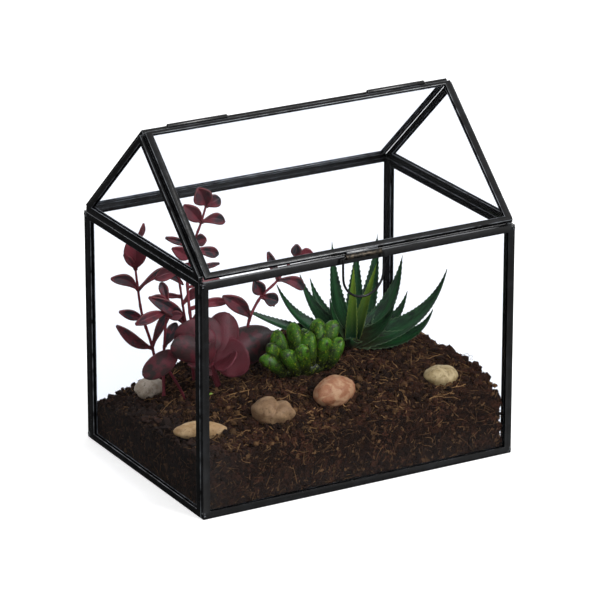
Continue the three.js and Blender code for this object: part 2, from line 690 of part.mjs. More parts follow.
const aloeTips = [
  // tip x, y, z, sag of the middle, width
  [-24, 34, 88, 4, 13], [-1, 26, 101, 8, 15], [17, 28, 104, 6, 15], [32, 13, 128, 4, 14],
  [73, 26, 123, 9, 16], [54, 20, 120, 2, 16], [81, 8, 112, 7, 18], [101, -14, 106, 11, 20],
  [85, 8, 87, 6, 14], [87, -20, 83, 6, 17], [31, -13, 71, 2, 12], [22, -2, 96, 4, 13],
  [74, 34, 88, 6, 14], [30, 38, 96, 6, 14], [62, -14, 90, 5, 15],
];
const aloePlant = () => {
  const crown = new THREE.CylinderGeometry(ALOE_STEM, ALOE_STEM, ROOT_DEPTH + ALOE_CROWN, 12);
  crown.rotateX(Math.PI / 2);
  crown.translate(ALOE_ROOT.x, ALOE_ROOT.y, ALOE_ROOT.z + (ALOE_CROWN - ROOT_DEPTH) / 2);
  const solids = [toSolid(crown)];
  aloeTips.forEach(([x, y, z, sag, width]) => {
    const tip = v3(x, y, z);
    const out = v3(x - ALOE_ROOT.x, y - ALOE_ROOT.y, 0).normalize();
    const base = ALOE_ROOT.clone().addScaledVector(out, 2.5).add(v3(0, 0, 4.5));
    const bend = base.clone().lerp(tip, 0.5).add(v3(0, 0, -sag)).addScaledVector(out, sag);
    solids.push(aloeLeaf({ base, bend, tip, width, thick: 5, teeth: 5 }));
  });
  return fuse(solids);
};

// The two young lime-green leaves in the middle of the aloe.
const HEART_ROOT = ALOE_ROOT.clone().add(v3(0, -3, 5.5));
const aloeHeart = (grow) => fuse([[38, -4, 116], [55, -4, 115]].map(([x, y, z], i) => {
  const tip = v3(x, y, z);
  const base = HEART_ROOT.clone().add(v3(i * 3 - 1.5, 0, 0));
  const bend = base.clone().lerp(tip, 0.5);
  return aloeLeaf({ base, bend, tip, width: 8, thick: 3, teeth: 5, swell: grow });
}));
const heartSocket = () => {
  const socket = new THREE.SphereGeometry(1, 10, 6);
  socket.scale(6.5, 4.5, 3.5);
  socket.translate(HEART_ROOT.x, HEART_ROOT.y, HEART_ROOT.z + 2);
  return toSolid(socket).add(aloeHeart(GAP));
};

// ---------- Plump finger-leaf cluster ----------
const FINGER_ROOT = v3(-2, -12, soilHeight(-2, -12));
const FINGER_SEAT = 4;
const FINGER_SINK = 1.5;
const fingerTips = [
  // base x, y and tip x, y, z, radius
  [-16, -12, -34, -12, 70, 5.2], [-14, -11, -28, -12, 78, 5.2], [-10, -9, -20, -6, 84, 5.6],
  [-6, -10, -8, -6, 87, 5.6], [-9, -15, -22, -20, 74, 5.2], [-4, -15, -10, -22, 77, 5.4],
  [0, -13, 0, -14, 82, 5.4], [4, -9, 10, -8, 87, 6.0], [6, -14, 9, -20, 78, 5.2],
  [10, -10, 22, -9, 84, 5.8], [10, -14, 20, -20, 76, 5.2], [-11, -6, -17, 3, 75, 5],
  [2, -5, 6, 4, 77, 5.2],
];
// Radius and height along a finger, each as a share of the whole.
const FINGER_PROFILE = [
  [0, 0], [0.7, 0.08], [1, 0.42], [0.98, 0.66], [0.76, 0.84], [0.42, 0.95], [0, 1],
];
const finger = (base, tip, radius) => {
  const length = base.distanceTo(tip);
  const profile = FINGER_PROFILE.map(([r, t]) => new THREE.Vector2(r * radius, t * length));
  const body = new THREE.LatheGeometry(profile, 7);
  const along = tip.clone().sub(base).normalize();
  const turn = new THREE.Quaternion().setFromUnitVectors(v3(0, 1, 0), along);
  body.applyQuaternion(turn);
  body.translate(base.x, base.y, base.z);
  return toSolid(body);
};
const fingerCluster = () => {
  const crown = new THREE.SphereGeometry(1, 10, 6);
  crown.scale(19, 8, 6);
  crown.translate(FINGER_ROOT.x, FINGER_ROOT.y, FINGER_ROOT.z + FINGER_SEAT);
  const root = new THREE.CylinderGeometry(4, 3, ROOT_DEPTH, 10);
  root.rotateX(Math.PI / 2);
  root.translate(FINGER_ROOT.x, FINGER_ROOT.y, FINGER_ROOT.z - ROOT_DEPTH / 2 + 3);
  const solids = [toSolid(crown), toSolid(root)];
  for (const [baseX, baseY, x, y, z, radius] of fingerTips) {
    solids.push(finger(v3(baseX, baseY, FINGER_ROOT.z + FINGER_SINK), v3(x, y, z), radius));
  }
  return fuse(solids);
};

// ---------- Pebbles ----------
const pebble = ({ centre, size, turn, dents, seed, grow = 0 }) => {
  const random = makeRandom(seed);
  const phases = [random(), random(), random()].map((value) => value * 6.28);
  const geometry = new THREE.SphereGeometry(1, 12, 8);
  const position = geometry.attributes.position;
  const matrix = new THREE.Matrix4().makeRotationZ(turn);
  for (let i = 0; i < position.count; i += 1) {
    const point = v3(0, 0, 0).fromBufferAttribute(position, i);
    const swell = 1 + dents * (Math.sin(2.1 * point.x + phases[0]) * Math.cos(1.7 * point.y + phases[1])
      + 0.5 * Math.sin(3.1 * point.z + phases[2]));
    point.multiplyScalar(swell).multiply(v3(size[0] + grow, size[1] + grow, size[2] + grow));
    point.applyMatrix4(matrix).add(centre);
    position.setXYZ(i, point.x, point.y, point.z);
  }
  return toSolid(geometry);
};
const onSoil = (x, y, rise) => v3(x, y, soilHeight(x, y) + rise);
const pebbles = {
  pebble_grey: {
    centre: onSoil(-83, 46, 3), size: [10.5, 8.5, 6], turn: 0.3, dents: 0.06, seed: 3, color: 0xa79f96,
  },
  pebble_tan: {
    centre: onSoil(-91, -38, 1), size: [14.5, 5.5, 5], turn: -0.5, dents: 0.1, seed: 5, color: 0xc9a878,
  },
  pebble_beige: {
    centre: onSoil(-46, -49, 5), size: [14, 9, 8], turn: 0.4, dents: 0.12, seed: 9, color: 0xb79c7c,
  },
  pebble_pink: {
    centre: onSoil(0, -46, 5), size: [15.5, 10, 9], turn: 0.25, dents: 0.08, seed: 12, color: 0xd0a184,
  },
  pebble_yellow: {
    centre: onSoil(74, -52, 2), size: [11, 9, 6], turn: -0.2, dents: 0.07, seed: 17, color: 0xbfae84,
  },
};

// ---------- Soil bed ----------
const soilBed = () => {
  const columns = 27;
  const rows = 18;
  const positions = [];
  const triangles = [];
  const random = makeRandom(41);
  const spread = (i, count, half) => -half + (2 * half * i) / count;
  const ragged = columns / 2;
  for (let j = 0; j <= rows; j += 1) {
    for (let i = 0; i <= columns; i += 1) {
      const inside = i > 0 && i < columns && j > 0 && j < rows;
      const jitter = inside ? 1.3 : 0;
      const toRight = Math.max(0, (i - ragged) / (columns - ragged));
      const pull = toRight ** 3 * (1.8 + 1.6 * random());
      const x = spread(i, columns, SOIL_HALF_LENGTH) + (random() - 0.5) * jitter - pull;
      const y = spread(j, rows, SOIL_HALF_DEPTH) + (random() - 0.5) * jitter;
      positions.push(x, y, soilTop(x, y) + (random() - 0.5) * 1.1);
    }
  }
  const at = (i, j) => j * (columns + 1) + i;
  for (let j = 0; j < rows; j += 1) {
    for (let i = 0; i < columns; i += 1) {
      triangles.push(at(i, j), at(i + 1, j), at(i + 1, j + 1));
      triangles.push(at(i, j), at(i + 1, j + 1), at(i, j + 1));
    }
  }
  const border = [];
  for (let i = 0; i < columns; i += 1) border.push(at(i, 0));
  for (let j = 0; j < rows; j += 1) border.push(at(columns, j));
  for (let i = columns; i > 0; i -= 1) border.push(at(i, rows));
  for (let j = rows; j > 0; j -= 1) border.push(at(0, j));
  const floor = positions.length / 3;
  border.forEach((vertex) => {
    positions.push(positions[vertex * 3], positions[vertex * 3 + 1], SOIL_FLOOR);
  });
  const middle = positions.length / 3;
  positions.push(0, 0, SOIL_FLOOR);
  border.forEach((vertex, k) => {
    const next = (k + 1) % border.length;
    triangles.push(vertex, floor + k, floor + next, vertex, floor + next, border[next]);
    triangles.push(middle, floor + next, floor + k);
  });
  const geometry = new THREE.BufferGeometry();
  geometry.setAttribute('position', new THREE.Float32BufferAttribute(positions, 3));
  geometry.setIndex(triangles);
  return toSolid(geometry);
};

// Clods that stand out of the heap, each sunk about half way in.
const clods = (count) => {
  const random = makeRandom(77);
  return Array.from({ length: count }, () => {
    const radius = 1.6 + 2.2 * random() ** 2;
    const x = (random() * 2 - 1) * (SOIL_HALF_LENGTH - 9);
    const y = (random() * 2 - 1) * (SOIL_HALF_DEPTH - 6);
    const clod = new THREE.IcosahedronGeometry(radius, 0);
    clod.scale(1, 0.8 + 0.4 * random(), 0.8);
    clod.rotateZ(random() * 3);
    clod.translate(x, y, soilTop(x, y) + 0.1);
    return toSolid(clod);
  });
};

const rootHole = (x, y, z, radius) => {
  const hole = new THREE.CylinderGeometry(radius, radius, ROOT_DEPTH * 2 + 2, 12);
  hole.rotateX(Math.PI / 2);
  hole.translate(x, y, z - GAP);
  return toSolid(hole);
};

// A shallow dish in the heap, in which the foot of a plant sits.
const dish = (root, halfLength, halfWidth, depth) => {
  const hollow = new THREE.SphereGeometry(1, 18, 10);
  hollow.rotateX(Math.PI / 2);
  hollow.scale(halfLength, halfWidth, depth * 2);
  hollow.translate(root.x, root.y, root.z + depth);
  return toSolid(hollow);
};

const STEM_LEAN = 0.35;
const rootedPlants = [
  // root, radius of the hole
  [ROSETTE_ROOT, 2.6], [STRAY_ROOT, 1.4], [SPROUT_ROOT, 0.7], [ALOE_ROOT, ALOE_STEM], [FINGER_ROOT, 4.2],
];
const dishes = [[FINGER_ROOT, 25, 14, 3.6], [ALOE_ROOT, 13, 12, 3]];

const soil = () => {
  let bed = fuse([soilBed(), ...clods(20)]);
  for (const { root, thick } of Object.values(burgundyStems)) {
    bed = bed.subtract(rootHole(root.x, root.y, root.z, thick + STEM_LEAN + GAP));
  }
  for (const [root, radius] of rootedPlants) {
    bed = bed.subtract(rootHole(root.x, root.y, root.z, radius + GAP));
  }
  for (const [root, halfLength, halfWidth, depth] of dishes) {
    bed = bed.subtract(dish(root, halfLength, halfWidth, depth));
  }
  for (const stone of Object.values(pebbles)) {
    bed = bed.subtract(pebble({ ...stone, grow: GAP }));
  }
  return mainBody(bed);
};

group.add(makeNode('soil_bed', soil(), finish(0x3a2318, 0.95)));
for (const [name, stone] of Object.entries(pebbles)) {
  group.add(makeNode(name, pebble(stone), finish(stone.color, 0.7)));
}
for (const [name, stem] of Object.entries(burgundyStems)) {
  group.add(makeNode(name, stem.solid, burgundyLeaf()));
}
group.add(makeNode('burgundy_rosette', rosette(), burgundyLeaf()));
group.add(makeNode('burgundy_stray_leaf', strayLeaf(), burgundyLeaf()));
group.add(makeNode('green_sprout', sprout(), limeGreen()));
group.add(makeNode('aloe_plant', mainBody(aloePlant().subtract(heartSocket())), aloeGreen()));
group.add(makeNode('aloe_heart', aloeHeart(0), limeGreen()));
group.add(makeNode('finger_cluster', fingerCluster(), fingerGreen()));

export default group;
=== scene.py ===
import functools
import math
import random

import bpy
import numpy as np
from mathutils import Matrix, Quaternion, Vector, geometry, noise


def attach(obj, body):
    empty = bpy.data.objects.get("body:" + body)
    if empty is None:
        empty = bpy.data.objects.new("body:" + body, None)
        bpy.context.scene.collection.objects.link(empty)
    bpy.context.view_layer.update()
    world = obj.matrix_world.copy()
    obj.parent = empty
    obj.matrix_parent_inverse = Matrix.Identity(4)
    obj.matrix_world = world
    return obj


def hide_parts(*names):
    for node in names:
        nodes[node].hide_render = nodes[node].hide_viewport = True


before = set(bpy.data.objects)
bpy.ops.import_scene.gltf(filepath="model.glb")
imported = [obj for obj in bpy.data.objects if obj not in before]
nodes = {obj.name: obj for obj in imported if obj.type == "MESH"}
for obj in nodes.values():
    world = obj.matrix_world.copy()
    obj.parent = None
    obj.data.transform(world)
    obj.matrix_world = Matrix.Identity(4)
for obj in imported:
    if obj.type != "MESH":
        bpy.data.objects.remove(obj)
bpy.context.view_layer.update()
MM = 0.001

# ------------------------------------------------------------ Edging strips
# Every pane's edge sits in a channel folded from thin strip, soldered at the
# corners and then blackened with patina. The folds leave small round edges,
# and a painted highlight, pale grey on their narrow faces, stands in for the
# thin lines where they catch the light. The patina is uneven.


def linear(code):
    """An sRGB hex colour such as "3a2318" as linear red, green, blue and alpha."""
    channels = [int(code[i:i + 2], 16) / 255 for i in (0, 2, 4)]
    return tuple(c / 12.92 if c <= 0.04045 else ((c + 0.055) / 1.055) ** 2.4 for c in channels) + (1,)


def plug(node, inputs):
    """Fills a node's inputs, each with a value, a node's first output, or a node and one of its outputs."""
    for key, value in inputs.items():
        if isinstance(value, bpy.types.Node):
            value = (value, 0)
        if isinstance(value, tuple) and isinstance(value[0], bpy.types.Node):
            node.id_data.links.new(value[0].outputs[value[1]], node.inputs[key])
        else:
            node.inputs[key].default_value = value


def add_node(tree, kind, inputs=(), **settings):
    """Adds a shader node of a kind with its settings and inputs."""
    node = tree.nodes.new("ShaderNode" + kind)
    for key, value in settings.items():
        setattr(node, key, value)
    plug(node, dict(inputs))
    return node


def new_material(name, **sockets):
    """A material, its Principled shader with the plain sockets set, and a function that adds its nodes."""
    material = bpy.data.materials.new(name)
    material.use_nodes = True
    shader = material.node_tree.nodes["Principled BSDF"]
    for key, value in sockets.items():
        shader.inputs[key.replace("_", " ").title().replace("Ior", "IOR")].default_value = value
    return material, shader, functools.partial(add_node, material.node_tree)


def paint(shader, add, base, layers, **outputs):
    """Lays colours over a base colour, each by its share, and plugs in the result and the other outputs."""
    colour = linear(base)
    for code, share in layers.items():
        colour = (add("Mix", {0: share, 6: colour, 7: linear(code)}, data_type="RGBA"), 2)
    plug(shader, {"Base Color": colour, **outputs})


def per_mm(size):
    """The scale of a noise whose features are that many millimetres across."""
    return 1 / (size * MM)


# Blackened tin solder over strip: a satin black with cloudy grey patches, rubbed
# smoother in places. It mirrors only a little, so the white room shows as a sheen.
# The folds' narrow faces carry a painted highlight in pale grey, uneven in strength.
blackened, shader, add = new_material("blackened_tinned_strip", specular_ior_level=0.42)
place = (add("TexCoord"), "Object")
clouds = add("TexNoise", {"Vector": place, "Scale": per_mm(7), "Detail": 5.0})
grit = add("TexNoise", {"Vector": place, "Scale": per_mm(1.1), "Detail": 3.0})
patch = add("MapRange", {"Value": clouds, "From Min": 0.45, "From Max": 0.72})
fold = (add("Attribute", attribute_name="fold"), "Fac")
# Painted highlight on the folds: pale grey on the bevel's narrow faces, its strength varied by the clouds.
fold_highlight_strength = add("MapRange", {"Value": clouds, "From Min": 0.34, "From Max": 0.6, "To Max": 0.85})
painted_fold_highlight = add("Math", {0: fold_highlight_strength, 1: fold}, operation="MULTIPLY")
gloss = add("MapRange", {"Value": grit, "To Min": 0.13, "To Max": 0.34})
relief = add("Bump", {"Height": clouds, "Strength": 0.35, "Distance": 0.4 * MM})
fine_relief = add("Bump", {"Height": grit, "Strength": 0.2, "Distance": 0.1 * MM, "Normal": relief})
layers = {"131518": patch, "7b7f84": painted_fold_highlight}
paint(shader, add, "040405", layers, Roughness=gloss, Normal=fine_relief)


def alone(piece):
    """Makes a piece the only one that the next operators act on."""
    bpy.ops.object.select_all(action="DESELECT")
    piece.select_set(True)
    bpy.context.view_layer.objects.active = piece


def add_object(name, data):
    """A new object at the origin that holds the data."""
    piece = bpy.data.objects.new(name, data)
    bpy.context.scene.collection.objects.link(piece)
    return piece


def edit_mesh(piece, *steps):
    """Runs mesh operators on all of a piece, each given with its settings."""
    alone(piece)
    bpy.ops.object.mode_set(mode="EDIT")
    bpy.ops.mesh.select_all(action="SELECT")
    for operator, settings in steps:
        operator(**settings)
    bpy.ops.object.mode_set(mode="OBJECT")


def apply_modifier(piece, name, kind, **settings):
    """Gives a piece a modifier with its settings and applies it."""
    alone(piece)
    modifier = piece.modifiers.new(name, kind)
    for key, value in settings.items():
        setattr(modifier, key, value)
    bpy.ops.object.modifier_apply(modifier=modifier.name)


def refined_copy(node_name, piece_name, edge_radius, segments=2):
    """A copy of a CAD node's mesh with its doubles merged and its edges rounded."""
    piece = add_object(piece_name, nodes[node_name].data.copy())
    edit_mesh(
        piece, (bpy.ops.mesh.remove_doubles, {"threshold": 0.004 * MM}),
        (bpy.ops.mesh.dissolve_limited, {"angle_limit": math.radians(1)}),
    )
    apply_modifier(
        piece, "fold_radius", "BEVEL", width=edge_radius, segments=segments, limit_method="ANGLE",
        angle_limit=math.radians(40),
    )
    bpy.ops.object.shade_smooth_by_angle(angle=math.radians(50))
    # Marks the bevel's narrow faces, where the strip's material lays its painted highlight.
    fold_highlight_faces = piece.data.attributes.new("fold", "FLOAT", "FACE")
    for face in piece.data.polygons:
        corners = [piece.data.vertices[i].co for i in face.vertices]
        longest = max((a - b).length for a, b in zip(corners, corners[1:] + corners[:1]))
        fold_highlight_faces.data[face.index].value = face.area < 0.9 * edge_radius * longest
    return piece


def dress(piece, body, slot, material, *replaced):
    """Gives a finished piece its material and its body and hides the nodes it stands for; the slot is not
    used.
    """
    piece.data.materials.clear()
    piece.data.materials.append(material)
    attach(piece, body)
    if replaced:
        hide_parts(*replaced)


FOLD_RADIUS = 0.6 * MM
for node_name in sorted(nodes):
    if node_name.endswith("_edging"):
        strip = refined_copy(node_name, node_name.replace("edging", "strip"), FOLD_RADIUS)
        dress(strip, "lid" if node_name.startswith("lid") else "case", "black_metal", blackened, node_name)


def round_rod(name, path, radii, capped):
    """A round rod along a path, with its radius at each point, all in millimetres."""
    curve = bpy.data.curves.new(name, "CURVE")
    curve.dimensions = "3D"
    curve.bevel_depth = 1 * MM
    curve.bevel_resolution = 2
    curve.use_fill_caps = capped
    line = curve.splines.new("POLY")
    line.points.add(len(path) - 1)
    for point, place, radius in zip(line.points, path, radii):
        point.co = (*(c * MM for c in place), 1)
        point.radius = radius
    rod = add_object(name, curve)
    alone(rod)
    bpy.ops.object.convert(target="MESH")
    bpy.ops.object.shade_smooth()
    return rod


# An uneven bead of solder runs along the lid's lower bar and all but closes the
# slit between it and the front wall, less towards the left end.
BEAD_FROM, BEAD_TO, BEAD_POINTS = -62, 104, 84
bead_path = []
bead_radii = []
for i in range(BEAD_POINTS):
    x = BEAD_FROM + (BEAD_TO - BEAD_FROM) * i / (BEAD_POINTS - 1)
    swell = 0.5 + 0.5 * noise.noise(Vector((x / 9, 0, 3)))
    bead_path.append((x, -77.7, 155.0))
    bead_radii.append(min(0.75, 0.25 + (x - BEAD_FROM) / 90) * (0.75 + 0.35 * swell))
bead = round_rod("lid_solder_bead", bead_path, bead_radii, False)
dress(bead, "lid", "black_metal", blackened)

# -------------------------------------------------------------- Glass panes
# Plain clear sheet glass, cut to size and slipped into the channels. It is thin
# enough to shift nothing, so it lets light straight through and only mirrors
# a little of the room, more where it is seen at a slant.
PANE_MIRROR = 0.16
sheet_glass, shader, add = new_material("clear_sheet_glass")
glass_nodes = sheet_glass.node_tree.nodes
glass_nodes.remove(shader)
clear = add("BsdfTransparent", {"Color": linear("f9fafc")})
mirror = add("BsdfGlossy", {"Color": (1, 1, 1, 1), "Roughness": 0.02})
slant = add("Fresnel", {"IOR": 1.5})
facing = add("NewGeometry")
outer = add("Math", {0: PANE_MIRROR, 1: (facing, "Backfacing")}, operation="SUBTRACT", use_clamp=True)
share = add("Math", {0: slant, 1: outer}, operation="MULTIPLY")
pane_shader = add("MixShader", {0: share, 1: clear, 2: mirror})
plug(glass_nodes["Material Output"], {"Surface": pane_shader})
for node_name in sorted(nodes):
    if node_name.endswith("_pane"):
        nodes[node_name].data.materials.clear()
        nodes[node_name].data.materials.append(sheet_glass)

# ------------------------------------------------------------ Ridge hinges
# Two tubes rolled from thin sheet are soldered along the ridge. A wire bent
# down at both ends runs through each and is soldered to the roof pane's bar.
for side in ("left", "right"):
    barrel = refined_copy(f"hinge_barrel_{side}", f"hinge_tube_{side}", 0.12 * MM)
    dress(barrel, "case", "black_metal", blackened, f"hinge_barrel_{side}")
    wire = refined_copy(f"hinge_wire_{side}", f"hinge_pin_{side}", 0.08 * MM, 1)
    dress(wire, "lid", "black_metal", blackened, f"hinge_wire_{side}")

# ---------------------------------------------------------------- Pull ring
# A short tube is soldered under the roof pane's lower bar, and a D-shaped
# ring of black wire swings in it. The tube is rubbed bare where fingers pull.
rubbed, shader, add = new_material("rubbed_brass_tube", metallic=0.8)
place = (add("TexCoord"), "Object")
wear = add("TexNoise", {"Vector": place, "Scale": per_mm(2.2), "Detail": 4.0})
bare = add("MapRange", {"Value": wear, "From Min": 0.42, "From Max": 0.62})
gloss = add("MapRange", {"Value": wear, "To Min": 0.55, "To Max": 0.3})
paint(shader, add, "141414", {"4f473d": bare}, Roughness=gloss)
tube = refined_copy("pull_tube", "pull_sleeve", 0.15 * MM)
dress(tube, "lid", "worn_metal", rubbed, "pull_tube")
ring = refined_copy("pull_ring", "pull_loop", 0.05 * MM, 1)
apply_modifier(ring, "round_wire", "SUBSURF", levels=1, render_levels=1)
bpy.ops.object.shade_smooth()
dress(ring, "ring", "black_metal", blackened, "pull_ring")

# ----------------------------------------------------------------- Soil bed
# Loose coir compost, heaped behind the middle and pressed against the glass.
# It is a mix of dark crumbs, small clods and pale coconut fibres.
SOIL_HALF_X = 107.9
SOIL_HALF_Y = 75.0
SOIL_FLOOR = 3.4
SOIL_RECESS = 1.1
SIDE_ROWS = 22
rng = np.random.default_rng(11)
SOIL_MOUNDS = [
    # rise, centre x and y, spread along x and y
    (24.5, 36, 26, 90, 55), (6.5, -45, -18, 46, 45), (5, 10, -40, 60, 35), (12, 100, -45, 60, 40),
    (2, -95, -74, 50, 40), (-12, -112, 84, 46, 56), (-5, 118, 84, 50, 50), (-5, -118, -5, 30, 60),
]


def soil_height(x, y):
    """The height of the heap at a place, without its crumbs, in millimetres."""
    height = 35
    for rise, centre_x, centre_y, spread_x, spread_y in SOIL_MOUNDS:
        away = ((x - centre_x) / spread_x) ** 2 + ((y - centre_y) / spread_y) ** 2
        height = height + rise * np.exp(-away)
    return height


def end_gap(x, y, z):
    """How far the heap's right end stands back from the glass at a place, in millimetres."""
    lumps = np.sin(z / 2.6 + y / 9) + np.sin(z / 1.5 - y / 4)
    return np.where(x > 0, (4.6 + 0.8 * lumps) * np.clip((z - 5) / 8, 0, 1), 0)


def get_points(piece):
    """A mesh's vertices as an array, in millimetres."""
    points = np.empty(len(piece.data.vertices) * 3)
    piece.data.vertices.foreach_get("co", points)
    return points.reshape(-1, 3) / MM


def set_points(piece, points):
    """Moves a mesh's vertices to the places in an array, in millimetres."""
    piece.data.vertices.foreach_set("co", (points * MM).ravel())
    piece.data.update()


def rough(points, size, depth=3):
    """Soft noise between about -1 and 1 at each point, with lumps of that size."""
    return np.array([noise.fractal(Vector(p) / size, 0.9, 2.1, depth) for p in points])


def set_value(piece, name, values):
    """Stores a number at each vertex, or one at them all, for the material to read."""
    layer = piece.data.attributes.new(name, "FLOAT", "POINT")
    layer.data.foreach_set("value", np.full(len(layer.data), values, np.float32))


def add_primitive(name, operator, **sizes):
    """A new mesh from one of the primitive operators."""
    bpy.ops.object.select_all(action="DESELECT")
    operator(**sizes)
    bpy.context.object.name = name
    return bpy.context.object


heap = add_primitive(
    "soil_heap", bpy.ops.mesh.primitive_grid_add, x_subdivisions=190, y_subdivisions=136, size=2,
)
flat = get_points(heap) * MM
reach_x, reach_y = SOIL_HALF_X - SOIL_RECESS, SOIL_HALF_Y - SOIL_RECESS
spots = np.column_stack((flat[:, 0] * reach_x, flat[:, 1] * reach_y, np.zeros(len(flat))))
spots[:, 0] -= end_gap(spots[:, 0], spots[:, 1], 40) * np.clip((flat[:, 0] - 0.85) / 0.15, 0, 1) ** 2
spots[:, 2] = soil_height(spots[:, 0], spots[:, 1]) + 1.7 * rough(spots, 10) + 1.2 * rough(spots, 3.4)
set_points(heap, spots)
edit_mesh(heap, (bpy.ops.mesh.region_to_loop, {}))
for step in range(SIDE_ROWS):
    bpy.ops.object.mode_set(mode="EDIT")
    bpy.ops.mesh.extrude_region_move()
    bpy.ops.object.mode_set(mode="OBJECT")
    skirt = get_points(heap)
    row = np.array([v.select for v in heap.data.vertices])
    fall = (skirt[row, 2] - SOIL_FLOOR) / (SIDE_ROWS - step)
    skirt[row, 2] -= fall
    push = 0.7 * rough(skirt[row], 4.5)
    end = np.sign(skirt[row, 0]) * (reach_x + push - end_gap(*skirt[row].T))
    on_end = np.abs(skirt[row, 0]) > reach_x - 6
    skirt[row, 0] = np.where(on_end, end, skirt[row, 0])
    on_face = np.abs(skirt[row, 1]) > reach_y - 2.5
    skirt[row, 1] = np.where(on_face, np.sign(skirt[row, 1]) * (reach_y + push), skirt[row, 1])
    set_points(heap, skirt)
bpy.ops.object.mode_set(mode="EDIT")
bpy.ops.mesh.edge_face_add()
bpy.ops.mesh.select_all(action="SELECT")
bpy.ops.mesh.normals_make_consistent(inside=False)
bpy.ops.object.mode_set(mode="OBJECT")
bpy.ops.object.shade_smooth_by_angle(angle=math.radians(60))

# Damp coir: rough and light-absorbing, dark umber with redder clods. Each crumb
# and fibre carries a tone from -1 to 1, from nearly black peat to dry straw. A
# grey-brown painted shade lies over the soil low down and towards the left end.
coir, shader, add = new_material("damp_coir_with_painted_shade", roughness=0.95, specular_ior_level=0.08)
place = (add("TexCoord"), "Object")
clods = add("TexNoise", {"Vector": place, "Scale": per_mm(14), "Detail": 4.0})
grains = add("TexNoise", {"Vector": place, "Scale": per_mm(1.6), "Detail": 5.0})
tone = (add("Attribute", attribute_name="tone"), "Fac")
clod_share = add("MapRange", {"Value": clods, "From Min": 0.38, "From Max": 0.66})
grain_share = add("MapRange", {"Value": grains, "From Min": 0.35, "From Max": 0.68})
depth = add("Math", {0: tone, 1: -1.0}, operation="MULTIPLY", use_clamp=True)
spot = add("SeparateXYZ", {0: place})
# Painted shade: grey-brown laid over the soil towards the bottom and towards the left end, which the lamps
# leave in shade.
low = add("MapRange", {"Value": (spot, "Z"), "From Min": 26 * MM, "From Max": 4 * MM, "To Max": 0.35})
left = add("MapRange", {"Value": (spot, "X"), "From Min": -70 * MM, "From Max": -110 * MM, "To Max": 0.6})
painted_shade_share = add("Math", {0: low, 1: left}, operation="MAXIMUM")
layers = {
    "4d2f22": clod_share, "221711": grain_share, "b58a5c": tone, "1d1410": depth, "302c2a": painted_shade_share,
}
crumble = add("Bump", {"Height": grains, "Strength": 0.6, "Distance": 0.4 * MM})
paint(shader, add, "2e1e16", layers, Normal=crumble)
set_value(heap, "tone", 0)
dress(heap, "case", "coir_soil", coir, "soil_bed")


def crumb_form(seed):
    """The points and faces of one angular crumb, about one unit across."""
    form = add_primitive("crumb", bpy.ops.mesh.primitive_ico_sphere_add, subdivisions=1, radius=0.5)
    chance = np.random.default_rng(seed)
    points = get_points(form) * MM * (0.72 + 0.5 * chance.random((12, 1)))
    faces = np.array([tuple(p.vertices) for p in form.data.polygons])
    bpy.data.objects.remove(form)
    return points, faces


def joined_forms(name, points, form_faces, tones):
    """One piece of soil made of many forms with the same faces, from each form's points in millimetres."""
    count, corners, _ = points.shape
    faces = np.array(form_faces)[None] + (np.arange(count) * corners)[:, None, None]
    mesh = bpy.data.meshes.new(name)
    mesh.from_pydata((points * MM).reshape(-1, 3).tolist(), [], faces.reshape(-1, 3).tolist())
    piece = add_object(name, mesh)
    set_value(piece, "tone", np.repeat(tones, corners))
    dress(piece, "case", "coir_soil", coir)


def inside_glass(points, short):
    """Flattens what would stand through the glass or the floor, each thing a little short of the glass."""
    for axis, half in enumerate((SOIL_HALF_X + 0.1, SOIL_HALF_Y + 0.1)):
        points[..., axis] = np.clip(points[..., axis], short - half, half - short)
    points[..., 2] = np.maximum(points[..., 2], SOIL_FLOOR)
    return points


CRUMB_FORMS = 8
crumb_forms = [crumb_form(seed) for seed in range(CRUMB_FORMS)]


def crumb_layer(name, centres, sizes, tones):
    """Crumbs at the given centres, each of one of the forms, joined into one piece."""
    count = len(centres)
    forms = rng.integers(0, CRUMB_FORMS, count)
    stretch = sizes[:, None] * (0.6 + 0.8 * rng.random((count, 3)))
    turns = np.array([Quaternion(q).normalized().to_matrix() for q in rng.normal(size=(count, 4))])
    shapes = np.array([form[0] for form in crumb_forms])[forms] * stretch[:, None, :]
    points = np.einsum("nij,nkj->nki", turns, shapes) + centres[:, None, :]
    points = inside_glass(points, 0.15 + 0.8 * rng.random((count, 1)))
    joined_forms(name, points, crumb_forms[0][1], tones)


def on_heap(count, margin=0.5):
    """Random places on top of the heap."""
    x = rng.uniform(-SOIL_HALF_X + margin, SOIL_HALF_X - margin - 4.4, count)
    y = rng.uniform(-SOIL_HALF_Y + margin, SOIL_HALF_Y - margin, count)
    return np.column_stack((x, y, soil_height(x, y)))


SIDE_SHARES = [0.42, 0.14, 0.28, 0.16]


def on_sides(count):
    """Random places on the front, back, left and right side of the heap, and the number of the side."""
    side = rng.choice(4, count, p=SIDE_SHARES)
    along = rng.uniform(-1, 1, count)
    x = np.select([side < 2, side == 2], [along * SOIL_HALF_X, -SOIL_HALF_X], SOIL_HALF_X)
    y = np.select([side == 0, side == 1], [-SOIL_HALF_Y, SOIL_HALF_Y], along * SOIL_HALF_Y)
    depth = 0.9 * rng.random(count)
    z = SOIL_FLOOR + rng.random(count) * (soil_height(x, y) - SOIL_FLOOR)
    y = np.where(side < 2, y - np.sign(y) * depth, y)
    x = np.where(side >= 2, x - np.sign(x) * (depth + end_gap(x, y, z)), x)
    x = np.minimum(x, SOIL_HALF_X - end_gap(x, y, z))
    return np.column_stack((x, y, z)), side


def crumb_tones(count):
    """Most crumbs are plain coir, a third are dark peat and a few are dry and paler."""
    kind = rng.random(count)
    return np.select([kind < 0.34, kind > 0.86], [-rng.random(count), 0.3 * rng.random(count)], 0)


